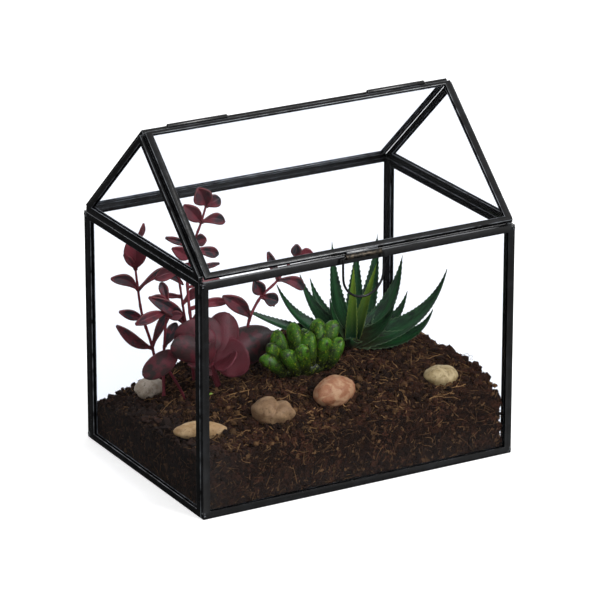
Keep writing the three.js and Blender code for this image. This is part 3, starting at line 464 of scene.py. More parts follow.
TOP_CRUMBS = 7800
crumbs = on_heap(TOP_CRUMBS)
crumb_sizes = 1.2 + 3.6 * rng.random(TOP_CRUMBS) ** 3
crumbs[:, 2] += 0.3 * crumb_sizes
crumb_layer("soil_crumbs_top", crumbs, crumb_sizes, crumb_tones(TOP_CRUMBS))
SIDE_CRUMBS = 8500
for layer in ("coarse", "fine"):
    crumbs, _ = on_sides(SIDE_CRUMBS)
    crumb_sizes = (2.0 if layer == "coarse" else 1.2) + 3.0 * rng.random(SIDE_CRUMBS) ** 3
    # Half the side crumbs are painted a step darker: painted shade on the soil pressed against the glass,
    # over their random tones.
    side_tones = crumb_tones(SIDE_CRUMBS) - (rng.random(SIDE_CRUMBS) < 0.5)
    crumb_layer(f"soil_crumbs_{layer}", crumbs, crumb_sizes, side_tones)
CLODS = 260
clods_at = on_heap(CLODS, 4)
clod_sizes = 3.2 + 3.6 * rng.random(CLODS) ** 2
clods_at[:, 2] += 0.1 * clod_sizes
crumb_layer("soil_clods", clods_at, clod_sizes, np.minimum(0, crumb_tones(CLODS)))

# Larger lumps have rolled to both ends of the heap and stand out against the light.
END_CLODS = 130
end_x = np.where(np.arange(END_CLODS) % 2 == 0, 1, -1) * rng.uniform(93, 101.5, END_CLODS)
end_y = rng.uniform(-70, 72, END_CLODS)
end_sizes = 3.5 + 5.5 * rng.random(END_CLODS) ** 2
end_spots = np.column_stack((end_x, end_y, soil_height(end_x, end_y) + 0.12 * end_sizes))
crumb_layer("soil_end_clods", end_spots, end_sizes, -0.5 * rng.random(END_CLODS))

FIBRE_STEPS = 6
steps = np.linspace(0, 1, FIBRE_STEPS)[None, :, None]


def headings(count):
    """Random directions, lying flat, upright along the front and upright along the ends."""
    angles = rng.uniform(0, 2 * math.pi, count)
    c, s, none = np.cos(angles), np.sin(angles), 0 * angles
    return [np.column_stack(parts)[:, None, :] for parts in ((c, s, none), (c, none, s), (none, c, s))]


def bent_paths(starts, lengths, heading, bend_size):
    """Paths that set off along their headings and bend away more and more."""
    bend = rng.normal(0, bend_size, (len(starts), 1, 3))
    return starts[:, None, :] + lengths[:, None, None] * (heading * steps + bend * steps ** 2)


def fibre_layer(name, paths, radii, tones):
    """Thin three-sided fibres along the given paths, joined into one piece."""
    count = len(paths)
    along = np.gradient(paths, axis=1)
    along /= np.linalg.norm(along, axis=2, keepdims=True) + 1e-9
    side = np.cross(along, rng.normal(size=(count, 1, 3)))
    side /= np.linalg.norm(side, axis=2, keepdims=True) + 1e-9
    up = np.cross(along, side)
    taper = radii[:, None, None] * np.linspace(1, 0.45, FIBRE_STEPS)[None, :, None]
    corners = [
        paths + taper * (side * math.cos(angle) + up * math.sin(angle))
        for angle in (0, 2 * math.pi / 3, 4 * math.pi / 3)
    ]
    points = inside_glass(np.stack(corners, axis=2), 0.12 * rng.random((count, 1, 1)))
    face_rows = []
    for step in range(FIBRE_STEPS - 1):
        for k in range(3):
            a, b = step * 3 + k, step * 3 + (k + 1) % 3
            face_rows += [(a, b, b + 3), (a, b + 3, a + 3)]
    last = (FIBRE_STEPS - 1) * 3
    face_rows += [(0, 2, 1), (last, last + 1, last + 2)]
    joined_forms(name, points.reshape(count, -1, 3), face_rows, tones)


def fibre_tones(count):
    """Mostly brown fibres, and a few as pale as straw."""
    return 0.05 + 0.5 * rng.random(count) ** 1.6


TOP_FIBRES = 2600
starts = on_heap(TOP_FIBRES, 3)
lying, _, _ = headings(TOP_FIBRES)
paths = bent_paths(starts, 3 + 12 * rng.random(TOP_FIBRES) ** 2, lying, 0.42)
lift = 0.5 + 1.4 * rng.random((TOP_FIBRES, 1)) + rng.normal(0, 0.7, (TOP_FIBRES, FIBRE_STEPS))
paths[:, :, 2] = soil_height(paths[:, :, 0], paths[:, :, 1]) + lift
fibre_layer("coir_fibres_top", paths, 0.12 + 0.2 * rng.random(TOP_FIBRES) ** 2, fibre_tones(TOP_FIBRES))

SIDE_FIBRES = 2200
starts, sides = on_sides(SIDE_FIBRES)
_, on_front, on_end = headings(SIDE_FIBRES)
heading = np.where((sides < 2)[:, None, None], on_front, on_end)
paths = bent_paths(starts, 2.5 + 9 * rng.random(SIDE_FIBRES) ** 2, heading, 0.25)
ceiling = soil_height(paths[:, :, 0], paths[:, :, 1]) + 0.8
paths[:, :, 2] = np.minimum(paths[:, :, 2], ceiling)
radii = 0.12 + 0.18 * rng.random(SIDE_FIBRES) ** 2
fibre_layer("coir_fibres_sides", paths, radii, fibre_tones(SIDE_FIBRES))

# Long straw-pale fibres lie scattered over the top and against the front glass.
STRAWS = 460
straw_starts = on_heap(STRAWS, 4)
straw_sides, _ = on_sides(STRAWS)
at_glass = (np.arange(STRAWS) % 5 == 0) & (straw_sides[:, 1] < -SOIL_HALF_Y + 2)
starts = np.where(at_glass[:, None], straw_sides, straw_starts)
lying, on_front, _ = headings(STRAWS)
lengths = (4 + 15 * rng.random(STRAWS) ** 2) * np.where(at_glass, 0.7, 1)
paths = bent_paths(starts, lengths, np.where(at_glass[:, None, None], on_front, lying), 0.4)
cover = soil_height(paths[:, :, 0], paths[:, :, 1]) + 1.8 + rng.normal(0, 0.5, (STRAWS, FIBRE_STEPS))
paths[:, :, 2] = np.where(at_glass[:, None], np.minimum(paths[:, :, 2], cover), cover)
paths[:, :, 1] = np.where(at_glass[:, None], -SOIL_HALF_Y, paths[:, :, 1])
straw_tones = (0.3 + 0.6 * rng.random(STRAWS)) * np.where(at_glass, 0.5, 1)
fibre_layer("coir_straws", paths, 0.15 + 0.17 * rng.random(STRAWS), straw_tones)

# Stray fibres that stand up from the heap's edge against the light.
STRAYS = 260
starts = on_heap(STRAYS, 2)
lengths = 3 + 5 * rng.random(STRAYS)
heading = rng.normal(0, 0.5, (STRAYS, 1, 3)) + np.array([0, 0, 0.75])
paths = bent_paths(starts, lengths, heading, 0.4)
fibre_layer("coir_fibres_stray", paths, np.full(STRAYS, 0.1), 0.3 * rng.random(STRAYS))

# ------------------------------------------------------------------ Pebbles
# Five water-worn pebbles pressed into the heap. Each is one stone with its own
# colour: chalky grey, sandstone, beige, pink feldspar and yellow quartzite.


def stone_material(name, base, patch_colour, vein_colour, patch_size):
    """Tumbled stone: matte, cloudy in colour, with fine pits that hold dirt."""
    material, shader, add = new_material(name, specular_ior_level=0.35)
    place = (add("TexCoord"), "Object")
    cloud = add(
        "TexNoise",
        {"Vector": place, "Scale": per_mm(patch_size), "Detail": 6.0, "Distortion": 0.8},
    )
    pits = add("TexNoise", {"Vector": place, "Scale": per_mm(1.3), "Detail": 6.0})
    cloud_share = add("MapRange", {"Value": cloud, "From Min": 0.42, "From Max": 0.6})
    pit_share = add("MapRange", {"Value": pits, "From Min": 0.56, "From Max": 0.74, "To Max": 0.75})
    sheen = add("MapRange", {"Value": pits, "To Min": 0.45, "To Max": 0.8})
    relief = add("Bump", {"Height": pits, "Strength": 0.5, "Distance": 0.4 * MM})
    layers = {patch_colour: cloud_share, vein_colour: pit_share}
    paint(shader, add, base, layers, Roughness=sheen, Normal=relief)
    return material


def pebble(name, x, y, rise, size, turn, tilt, lumps, seed, notch):
    """A tumbled stone: a sphere stretched to size, flattened in places and dented."""
    stone = add_primitive(name, bpy.ops.mesh.primitive_ico_sphere_add, subdivisions=5, radius=1)
    points = get_points(stone) * MM
    swell = 1 + lumps * rough(points + seed * 3.7, 1.1, 2) + 0.35 * lumps * rough(points - seed, 0.45, 2)
    angle = np.arctan2(points[:, 2], points[:, 0])
    cleft = notch * np.exp(-((angle - 1.2) / 0.3) ** 2) * (1 - np.minimum(1, points[:, 1] ** 2)) ** 0.2
    points = points * (swell - cleft)[:, None] * np.array(size)
    spin = np.array(Matrix.Rotation(turn, 3, "Z") @ Matrix.Rotation(tilt, 3, "X"))
    centre = np.array([x, y, float(soil_height(x, y)) + rise])
    set_points(stone, points @ spin.T + centre)
    alone(stone)
    bpy.ops.object.shade_smooth()
    return stone


pebble_plan = [
    # name, x, y, rise, half sizes, turn, tilt, lumps, seed, notch, colours and patch size
    ("grey", -83, 46, 5.4, (11.0, 8.5, 7.4), 0.3, 0.0, 0.16, 3, 0.0, ("ab9a86", "c8b9a6", "655747"), 8),
    ("tan", -91, -38, 3.6, (16.5, 6.2, 6.2), -0.5, 0.0, 0.12, 5, 0.0, ("a8865c", "c4a57a", "664a2c"), 9),
    ("beige", -46, -49, 6, (13.2, 9.2, 9.4), -0.5, 0.05, 0.12, 9, 0.32, ("7d5f42", "987957", "412c1d"), 10),
    ("pink", 0, -46, 6.2, (15.6, 10.2, 9.6), 0.25, 0.25, 0.12, 12, 0.0, ("9a6647", "b58c69", "722f1a"), 6),
    ("yellow", 74, -52, 1.7, (11.2, 9.0, 6.4), -0.2, 0.1, 0.12, 17, 0.0, ("9a855c", "bba67c", "4f3f26"), 5),
]
for name, *form, colours, patch_size in pebble_plan:
    stone = pebble(f"stone_{name}", *form)
    finish = stone_material(f"tumbled_stone_{name}", *colours, patch_size)
    dress(stone, "case", f"pebble_{name}", finish, f"pebble_{name}")

# ------------------------------------------------- Burgundy trailing stems
# Five soft-wooded stems with pairs of small oval leaves. The leaves are matte
# moulded foliage: wine red over grey green, darker on the shaded side, with a
# paler rib and a thin bright margin. The stems are rosy brown.
FACING = {
    "front": Vector((-0.4, -0.8, 0.35)), "up": Vector((-0.2, -0.35, 0.9)), "side": Vector((0.5, -0.5, 0.6)),
}


def foliage_material(name, dark, main, flush, rib_colour, rough_range, vein_count, line_strength):
    """Moulded leaf: mottled from the noise, ribbed along its UV map, with a slight sheen."""
    material, shader, add = new_material(name, specular_ior_level=0.26)
    place = (add("TexCoord"), "Object")
    tone = (add("Attribute", attribute_name="tone"), "Fac")
    sides = add("SeparateXYZ", {0: (place[0], "UV")})
    mottle = add("TexNoise", {"Vector": place, "Scale": per_mm(6), "Detail": 5.0})
    mottle_share = add("MapRange", {"Value": mottle, "From Min": 0.42, "From Max": 0.55})
    outward = add("MapRange", {"Value": (sides, "Y"), "From Min": 0.2, "From Max": 0.8, "To Max": 0.5})
    dull = add("Math", {0: mottle_share, 1: 0.85, 2: outward}, operation="MULTIPLY_ADD")
    shade = add("Math", {0: dull, 1: tone}, operation="MULTIPLY", use_clamp=True)
    off_rib = add("Math", {0: (sides, "X"), 1: 0.5}, operation="SUBTRACT")
    rib_distance = add("Math", {0: off_rib}, operation="ABSOLUTE")
    rib = add("MapRange", {"Value": rib_distance, "From Min": 0.05, "From Max": 0.015, "To Max": 0.65})
    margin = add("MapRange", {"Value": rib_distance, "From Min": 0.44, "From Max": 0.5, "To Max": 0.4})
    slope = add("Math", {0: rib_distance, 1: -0.9, 2: (sides, "Y")}, operation="MULTIPLY_ADD")
    rows = add("Math", {0: slope, 1: vein_count}, operation="MULTIPLY")
    saw = add("Math", {0: rows, 1: 1.0}, operation="PINGPONG")
    veins = add("MapRange", {"Value": saw, "From Min": 0.22, "From Max": 0.0, "To Max": 0.28})
    all_lines = add("Math", {0: rib, 1: veins}, operation="MAXIMUM")
    lines = add("Math", {0: all_lines, 1: line_strength}, operation="MULTIPLY")
    gloss = add("MapRange", {"Value": mottle, "To Min": rough_range[0], "To Max": rough_range[1]})
    ridges = add("Bump", {"Height": lines, "Strength": 0.5, "Distance": 0.3 * MM})
    grain = add("TexNoise", {"Vector": place, "Scale": per_mm(0.9), "Detail": 3.0})
    skin = add("Bump", {"Height": grain, "Strength": 0.25, "Distance": 0.15 * MM, "Normal": ridges})
    layers = {dark: shade, rib_colour: lines, flush: margin}
    paint(shader, add, main, layers, Roughness=gloss, Normal=skin)
    return material


wine_leaf = foliage_material(
    "wine_red_foliage", "303336", "74323a", "85403d", "93474f", (0.32, 0.5), 9.0, 0.7,
)


def on_ground(x, y):
    """The point of the heap's surface at a place."""
    return Vector((x, y, float(soil_height(x, y))))


CURVE_STEPS = 25


def spline(points, count):
    """Evenly spaced points on a smooth curve through the given ones."""
    knots = [Vector(p) for p in points]
    knots = [knots[0] * 2 - knots[1], *knots, knots[-1] * 2 - knots[-2]]
    fine = []
    for before, start, end, after in zip(knots, knots[1:], knots[2:], knots[3:]):
        pairs = (before, start), (start, end), (end, after)
        a, b, c = (max((q - p).length, 1e-6) ** 0.5 for p, q in pairs)
        first = ((start - before) / a - (end - before) / (a + b) + (end - start) / b) * b
        second = ((end - start) / b - (after - start) / (b + c) + (after - end) / c) * b
        handles = start, start + first / 3, end - second / 3, end
        fine += geometry.interpolate_bezier(*handles, CURVE_STEPS)[:-1]
    fine.append(knots[-2])
    fine = np.array([tuple(p) for p in fine])
    travelled = np.concatenate(([0], np.cumsum(np.linalg.norm(np.diff(fine, axis=0), axis=1))))
    wanted = np.linspace(0, travelled[-1], count)
    return np.column_stack([np.interp(wanted, travelled, fine[:, k]) for k in range(3)])


def stalk(name, path, thick, thin, knots=0.0):
    """A round tapering stalk along a path, with slight swellings at its knots."""
    share = np.arange(len(path)) / (len(path) - 1)
    radii = (thick + (thin - thick) * share) * (1 + knots * np.maximum(0, np.cos(share * 44)) ** 6)
    piece = round_rod(name, path, radii, True)
    set_value(piece, "tone", 0)
    return piece


def blade(name, base, tip, facing, half_width, arch, cup, wave, tone, rows=16, columns=10, thickness=0.55,
          fold=0.0, curl=0.0, sweep=0.0):
    """A leaf: a grid laid from base to tip, hollowed, arched and waved, then given its thickness."""
    leaf = add_primitive(
        name, bpy.ops.mesh.primitive_grid_add, x_subdivisions=columns, y_subdivisions=rows, size=1,
        calc_uvs=True,
    )
    flat = get_points(leaf) * MM
    s, t = flat[:, 0] * 2, flat[:, 1] + 0.5
    base, tip = Vector(base), Vector(tip)
    along = tip - base
    length = along.length
    along.normalize()
    side = along.cross(facing).normalized()
    normal = side.cross(along)
    half = half_width(t)
    rise = (
        arch * np.sin(np.pi * t) * length + cup * half * s * s + fold * half * np.abs(s)
        + wave * half * s * np.sin(5 * t + s) + 0.25 * wave * half * np.abs(s) ** 3 * np.sin(17 * t + 2 * s)
        + curl * length * np.maximum(0, t - 0.55) ** 2
    )
    sideways = s * half + sweep * length * np.sin(np.pi * t)
    points = (
        np.array(base) + np.outer(t * length, along) + np.outer(sideways, side) + np.outer(rise, normal)
    )
    set_points(leaf, points)
    apply_modifier(leaf, "thickness", "SOLIDIFY", thickness=thickness * MM, offset=0)
    bpy.ops.object.shade_smooth()
    set_value(leaf, "tone", tone)
    return leaf


def oval_leaf(width, stem):
    """Half the width of a spoon-shaped leaf that narrows to its stem, along its length."""
    def half(t):
        body = (width / 2) * np.maximum(0, np.sin(np.pi * t ** 1.5)) ** 0.66
        return np.maximum(stem * (1 - 0.5 * t), body)
    return half


def round_leaf(width, stem, start):
    """Half the width of a round leaf whose stalk ends at start, along its length."""
    def half(t):
        blade_share = np.maximum(0, (t - start) / (1 - start))
        return np.maximum(stem, (width / 2) * np.sqrt(np.maximum(0, 1 - (2 * blade_share - 1) ** 2)))
    return half


def join(name, pieces):
    """Joins pieces into the first one and names the result."""
    bpy.ops.object.select_all(action="DESELECT")
    for piece in pieces:
        piece.select_set(True)
    bpy.context.view_layer.objects.active = pieces[0]
    bpy.ops.object.join()
    whole = bpy.context.object
    whole.name = whole.data.name = name
    edit_mesh(whole, (bpy.ops.mesh.normals_make_consistent, {"inside": False}))
    return whole


# Each stem: where it roots, the points of its path, and its leaves as the place on the stem, the tip and
# width in millimetres, how dark it is, how far it sweeps up and how it faces, if not to the front.
stem_plan = {
    "far_left": ((-70, 57), [
        (-75, 57, 62), (-82.5, 56, 86), (-85.5, 56, 107), (-87.5, 55, 122), (-88.5, 54, 137),
    ], [
        (0.35, -104, 50, 84, 7, 0.7, -0.06), (0.54, -102, 50, 93, 6, 1.0, 0),
        (0.36, -61, 58, 85, 5.5, 0.8, 0.03), (0.71, -103.5, 58, 113, 7, 0.7, 0.13),
        (0.71, -51, 60, 99, 6.5, 1.0, 0.26), (0.84, -98, 50, 131, 4, 0.5, 0),
        (0.83, -91, 48, 144, 14, 0.1, 0), (0.93, -76, 56, 133, 6, 0.9, 0),
        (0.98, -97, 50, 145, 4, 0.6, 0), (1.0, -81, 55, 147, 4.5, 0.4, 0, "side"),
    ]),
    "near_left": ((-82, 28), [(-82, 28, 62), (-80.5, 28, 84), (-79, 28, 98), (-78, 29, 104)], [
        (0.9, -104, 24, 93, 6.6, 0.6, 0.03), (0.96, -90, 29, 107, 6.5, 1.0, 0.05),
        (0.62, -71, 31, 86, 7, 1.0, 0), (0.86, -71, 23, 94, 6, 0.4, 0),
        (1.0, -80, 34, 114, 5.5, 0.9, 0),
    ]),
    "middle": ((-58, 32), [(-62, 32, 72), (-66, 32, 98), (-68, 32, 112), (-70, 32, 121)], [
        (0.97, -86, 31, 118, 8, 0.4, 0.1), (0.97, -57, 36, 119, 6.5, 0.5, 0.05),
        (0.75, -52, 36, 104, 6, 0.3, 0), (0.58, -92, 27, 108, 8, 0.8, 0.07),
        (0.8, -80, 32, 106, 3, 1.0, 0), (1.0, -72, 33, 127, 4, 0.7, 0, "side"),
        (0.55, -47, 38, 86, 7, 0.5, 0),
    ]),
    "tall": ((-62, 18), [
        (-65, 19, 76), (-68, 20, 104), (-68, 21, 120), (-63, 21, 142), (-58, 21, 154), (-54, 21, 166),
    ], [
        (0.5, -41, 18, 99, 5.5, 0.0, 0.05), (0.6, -43, 20, 112, 7, 0.2, 0, "up"),
        (0.68, -45, 22, 124, 3, 1.0, 0), (0.74, -81, 16, 142, 8, 0.2, 0),
        (0.78, -45.5, 21, 130.5, 6.5, 1.0, 0.02), (0.79, -82, 24, 147, 4, 1.0, 0.02),
        (0.82, -57, 16, 144, 7.5, 0.8, 0), (0.91, -71, 19, 168, 9, 0.4, 0),
        (0.91, -42, 20, 152, 7, 0.8, 0.12), (0.99, -61.5, 19, 178, 12, 0.6, 0),
        (1.0, -45, 20, 168, 8, 0.8, 0),
    ]),
    "right": ((-30, 18), [
        (-28, 17, 72), (-27, 16, 84), (-19, 16, 98), (-7, 16, 107), (3, 16, 118), (9, 16, 121),
    ], [
        (0.5, -48, 13, 106, 9.5, 0.8, 0.05), (0.66, -9, 10, 96, 8.5, 1.0, -0.05),
        (0.66, -25, 13, 112, 8.5, 1.0, 0), (0.8, 11, 12, 100, 7, 1.0, 0.12),
        (0.8, -11.5, 19, 127, 5, 0.9, 0), (0.98, 7, 15, 130, 6.5, 0.9, 0),
        (1.0, 18, 13, 122, 7, 0.0, 0.1), (0.64, -11, 12, 92, 3, 1.0, 0, "side"),
    ]),
}
ROOT_DEPTH = 16
STEM_STEPS = 60
leaf_chance = random.Random(5)
for stem_name, (root, path, leaves) in stem_plan.items():
    ground = float(soil_height(*root))
    line = spline([(*root, ground - ROOT_DEPTH), (*root, ground), *path], STEM_STEPS + 1)
    pieces = [stalk(f"stalk_{stem_name}", line[6:], 1.15, 0.7, 0.22)]
    for index, (share, x, y, z, width, tone, sweep, *turned) in enumerate(leaves):
        at = share * STEM_STEPS
        low = line[min(STEM_STEPS - 1, int(at))]
        start = low + (line[min(STEM_STEPS, int(at) + 1)] - low) * (at - int(at))
        pieces.append(blade(
            f"leaf_{index}", start, (x, y, z), FACING[turned[0] if turned else "front"],
            oval_leaf(width, 1.0), 0.07, 0.25, 0.1, tone, thickness=1.1, fold=0.5,
            curl=leaf_chance.uniform(-0.2, 0.2), sweep=-sweep if x > start[0] else sweep,
        ))
    stem = join(f"wine_stem_{stem_name}", pieces)
    dress(stem, "case", "burgundy_leaf", wine_leaf, f"burgundy_stem_{stem_name}")

# --------------------------------------------------------- Burgundy rosette
# A low rosette of broad round leaves on fleshy stalks from one short stem, in
# the same matte wine red, with one leaf standing apart on a stalk of its own.
round_wine_leaf = foliage_material(
    "wine_red_round_foliage", "302624", "64272f", "84464f", "6a323c", (0.42, 0.6), 5.0, 0.2,
)
rosette_root = on_ground(-55, 5)
rosette_hub = Vector((-62, 2, 65))
rosette_plan = [
    # tip x, y, z, width, bare share of the stalk, facing, how dark
    (-42, -11, 73, 25, 0.08, "front", 0.2), (-13, 8, 75, 24, 0.26, "front", 1.0),
    (-46, 10, 95, 21, 0.2, "front", 0.3), (-79, 9, 94, 25, 0.12, "front", 0.5),
    (-62, 10, 95, 20, 0.2, "front", 0.6), (-88, 5, 84, 17, 0.22, "front", 0.7),
    (-53, -15, 76, 15, 0.12, "up", 0.0), (-79, -7, 70, 17, 0.2, "up", 0.8),
    (-66, -3, 82, 14, 0.2, "up", 0.5),
]
crown_path = spline([rosette_root - Vector((0, 0, 6)), rosette_root, (-58, 4, 56), (-63, 2, 67)], 16)
pieces = [stalk("rosette_crown", crown_path, 1.9, 2.6)]
for index, (x, y, z, width, share, facing_name, tone) in enumerate(rosette_plan):
    tip = Vector((x, y, z))
    base = rosette_hub + (tip - rosette_hub).normalized() * 1.4
    pieces.append(blade(
        f"round_leaf_{index}", base, tip, FACING[facing_name], round_leaf(width, 1.1, share),
        leaf_chance.uniform(-0.06, 0.16), leaf_chance.uniform(-0.45, 0.1), 0.16,
        tone, rows=24, columns=16, thickness=1.0, fold=0.08, sweep=leaf_chance.uniform(-0.08, 0.08),
    ))
dress(join("wine_rosette", pieces), "case", "burgundy_leaf", round_wine_leaf, "burgundy_rosette")

stray_root = on_ground(-75, 13)
stray_path = spline(
    [stray_root - Vector((0, 0, 5)), stray_root, (-80, 13, 52), (-86, 13, 62), (-91, 13, 68)], 18,
)
stray = [
    stalk("stray_stalk", stray_path, 1.0, 0.9),
    blade(
        "stray_blade", (-81, 11, 75), (-103, 15, 61), FACING["front"], round_leaf(14, 0.9, 0.03),
        0.1, -0.35, 0.12, 0.8, rows=24, columns=16, thickness=0.8, fold=0.05,
    ),
]
dress(join("wine_stray_leaf", stray), "case", "burgundy_leaf", round_wine_leaf, "burgundy_stray_leaf")

# ----------------------------------------------------------- Green seedling
# A tiny seedling with three pale green leaves has come up beside the rosette.
lime_leaf = foliage_material(
    "young_lime_foliage", "5d8a1e", "86a82c", "b4c95a", "a9c44c", (0.4, 0.55), 4.0, 1.0,
)
sprout_root = on_ground(-68, -2)
sprout_top = sprout_root + Vector((0, 0, 3.5))
sprout_path = spline([sprout_root - Vector((0, 0, 3)), sprout_root, sprout_top], 6)
pieces = [stalk("seedling_stalk", sprout_path, 0.6, 0.5)]
for index, (x, y) in enumerate([(-4, -1), (3.5, -2.5), (0, 3.5)]):
    pieces.append(blade(
        f"seedling_leaf_{index}", sprout_top - Vector((0, 0, 0.5)), sprout_top + Vector((x, y, 1.5)),
        Vector((0, 0, 1)), oval_leaf(2.6, 0.4), 0.05, 0.2, 0.0, 0.3, rows=8, columns=6, thickness=0.4,
    ))
dress(join("lime_seedling", pieces), "case", "lime_leaf", lime_leaf, "green_sprout")

# --------------------------------------------------------------------- Aloe
# A rosette of stiff, hollowed and keeled leaves that taper to a point. Both
# margins carry a pale line and fine hooked teeth. The skin is waxy dark green
# with faint lengthwise bands and a painted highlight down the middle of each
# face and keel, and two young leaves in the heart are lime green.
aloe_root = on_ground(42, 4)
aloe_hub = aloe_root + Vector((-8, -24, 50))


def waxy_skin(name, dark, main, pale, margin_colour, foot_colour, foot_end):
    """Waxy succulent skin: cloudy, banded along the leaf with stripes and a painted highlight down the
    middle, pale at the margin, other at the foot.
    """
    material, shader, add = new_material(name, specular_ior_level=0.28)
    place = (add("TexCoord"), "Object")
    values = ("margin", "along", "across")
    margin, along, across = ((add("Attribute", attribute_name=value), "Fac") for value in values)
    cloud = add("TexNoise", {"Vector": place, "Scale": per_mm(9), "Detail": 5.0})
    cloud_share = add("MapRange", {"Value": cloud, "From Min": 0.36, "From Max": 0.66})
    stripe_place = add("CombineXYZ", {"X": across, "Y": along})
    stripe_scale = add("Mapping", {"Vector": stripe_place, "Scale": (5.0, 3.2, 1.0)})
    stripes = add("TexNoise", {"Vector": stripe_scale, "Scale": 1.0, "Detail": 3.0})
    stripe_share = add("MapRange", {"Value": stripes, "From Min": 0.42, "From Max": 0.66, "To Max": 0.75})
    # Painted highlight: a paler band down the middle of each face and keel that fades to darker margins.
    off_highlight_line = add("Math", {0: across, 1: 0.2}, operation="SUBTRACT")
    highlight_line_distance = add("Math", {0: off_highlight_line}, operation="ABSOLUTE")
    painted_centre_highlight = add("MapRange", {"Value": highlight_line_distance, "From Min": 0.62, "From Max": 0.12, "To Max": 0.7})
    # The pale colour's share: the skin's own stripes and the painted highlight together.
    light = add("Math", {0: stripe_share, 1: painted_centre_highlight}, operation="MAXIMUM")
    foot_share = add("MapRange", {"Value": along, "From Min": foot_end, "From Max": 0.1})
    line = add("MapRange", {"Value": margin, "From Min": 0.5, "From Max": 0.9, "To Max": 0.9})
    layers = {
        main: cloud_share, pale: light, foot_colour: foot_share, margin_colour: line,
    }
    gloss = add("MapRange", {"Value": stripes, "To Min": 0.34, "To Max": 0.52})
    relief = add("Bump", {"Height": stripes, "Strength": 0.35, "Distance": 0.4 * MM})
    paint(shader, add, dark, layers, Roughness=gloss, Normal=relief)
    return material


dark_wax = waxy_skin("waxy_aloe_skin", "07160c", "0f3018", "26582e", "6f8d64", "2e2a18", 0.9)
lime_wax = waxy_skin("young_aloe_skin", "4c761a", "80a226", "98b434", "a8b85a", "12341b", 3.1)


def moulded_sphere(name, segments, rings, place):
    """A sphere whose latitude and longitude are laid out by place: t from 0 to 1, and the angle."""
    form = add_primitive(
        name, bpy.ops.mesh.primitive_uv_sphere_add, segments=segments, ring_count=rings, radius=1,
    )
    ball = get_points(form) * MM
    t = 1 - np.arccos(np.clip(ball[:, 2], -1, 1)) / np.pi
    angle = np.arctan2(ball[:, 1], ball[:, 0])
    points, values = place(t, angle)
    set_points(form, points)
    for value_name, numbers in values.items():
        set_value(form, value_name, numbers)
    alone(form)
    bpy.ops.object.shade_smooth()
    return form


def round_crown(t, angle, half_x, half_y, z):
    """The points of a rounded crown, which a plant's leaves grow from."""
    ring = np.sin(np.pi * t)
    return np.column_stack((half_x * ring * np.cos(angle), half_y * ring * np.sin(angle), z))


def aloe_leaf(name, base, bend, tip, width, thick, tooth_gap=3.0, tooth_size=1.35):
    """One keeled leaf on a bent centre line, with saw teeth along both margins."""
    base, bend, tip = (np.array(p, float) for p in (base, bend, tip))
    length = np.linalg.norm(tip - base)
    teeth = max(6, round(length / tooth_gap))

    def place(t, angle):
        row = t[:, None]
        middle = (1 - row) ** 2 * base + 2 * (row * (1 - row)) * bend + row ** 2 * tip
        along = 2 * (1 - row) * (bend - base) + 2 * row * (tip - bend)
        along /= np.linalg.norm(along, axis=1, keepdims=True)
        inward = np.array(aloe_hub) - (0.25 * base + 0.5 * bend + 0.25 * tip)
        across = np.cross(along, inward)
        across /= np.linalg.norm(across, axis=1, keepdims=True)
        up = np.cross(across, along)
        half = (width / 2) * (1 - t) ** 1.2 * (0.95 + 1.0 * t)
        depth = thick * (1 - 0.85 * t)
        s = np.cos(angle)
        edge = np.abs(s) ** 1.2 * np.sign(s)
        face = 0.25 * half * s ** 2 - 0.3 * depth * (1 - s ** 2)
        keel = 0.25 * half - (0.25 * half + 0.9 * depth) * (1 - np.abs(s) ** 2.2)
        rise = np.where(np.sin(angle) > 0, face, keel)
        margin = np.maximum(0, (np.abs(s) - 0.9) / 0.1)
        saw = (t * teeth) % 1
        tooth = tooth_size * np.where(saw < 0.7, saw / 0.7, (1 - saw) / 0.3) ** 1.4
        tooth = tooth * (1 - 0.75 * t) * (t > 0.06) * (t < 0.97) * margin
        reach = edge * half + np.sign(s) * tooth
        points = middle + reach[:, None] * across + (rise + 0.3 * tooth)[:, None] * up
        return points, {"margin": margin, "along": t * length / 20, "across": s}

    return moulded_sphere(name, 26, teeth * 6, place)


aloe_plan = [
    # tip x, y, z, sag of the middle, width
    (-24, 34, 88, 4, 13), (-1, 26, 101, 8, 15), (17, 28, 104, 6, 15), (32, 13, 128, 4, 14),
    (73, 26, 123, 9, 15), (54, 20, 120, 2, 15), (81, 8, 112, 9, 16), (101, -14, 106, 13, 18),
    (85, 8, 87, 9, 13), (87, -20, 83, 11, 16), (31, -13, 71, 2, 12), (22, -2, 96, 4, 13),
    (74, 34, 88, 6, 14), (30, 38, 96, 6, 14), (62, -14, 90, 5, 15),
]
pieces = []
for index, (x, y, z, sag, width) in enumerate(aloe_plan):
    tip = Vector((x, y, z))
    out = Vector((x - aloe_root.x, y - aloe_root.y, 0)).normalized()
    base = aloe_root + out * 2.5 + Vector((0, 0, 4.5))
    bend = (base + tip) / 2 + (Vector((0, 0, -1)) + out) * sag * 1.5
    pieces.append(aloe_leaf(f"aloe_leaf_{index}", base, bend, tip, width, 5))
crown = moulded_sphere("aloe_crown", 20, 12, lambda t, angle: (
    np.array(aloe_root) + round_crown(t, angle, 6, 6, 12 * t - 6), {"margin": 0, "along": t, "across": 0},
))
dress(join("toothed_aloe", [crown, *pieces]), "case", "aloe_leaf", dark_wax, "aloe_plant")

heart_root = aloe_root + Vector((0, 0, 5.5))
pieces = []
for index, (x, y, z) in enumerate([(38, -4, 116), (55, -4, 115)]):
    base = heart_root + Vector((index * 3 - 1.5, 0, 0))
    tip = Vector((x, y, z))
    pieces.append(aloe_leaf(f"heart_leaf_{index}", base, (base + tip) / 2, tip, 8, 3, tooth_size=0.6))
dress(join("young_aloe_leaves", pieces), "case", "lime_leaf", lime_wax, "aloe_heart")
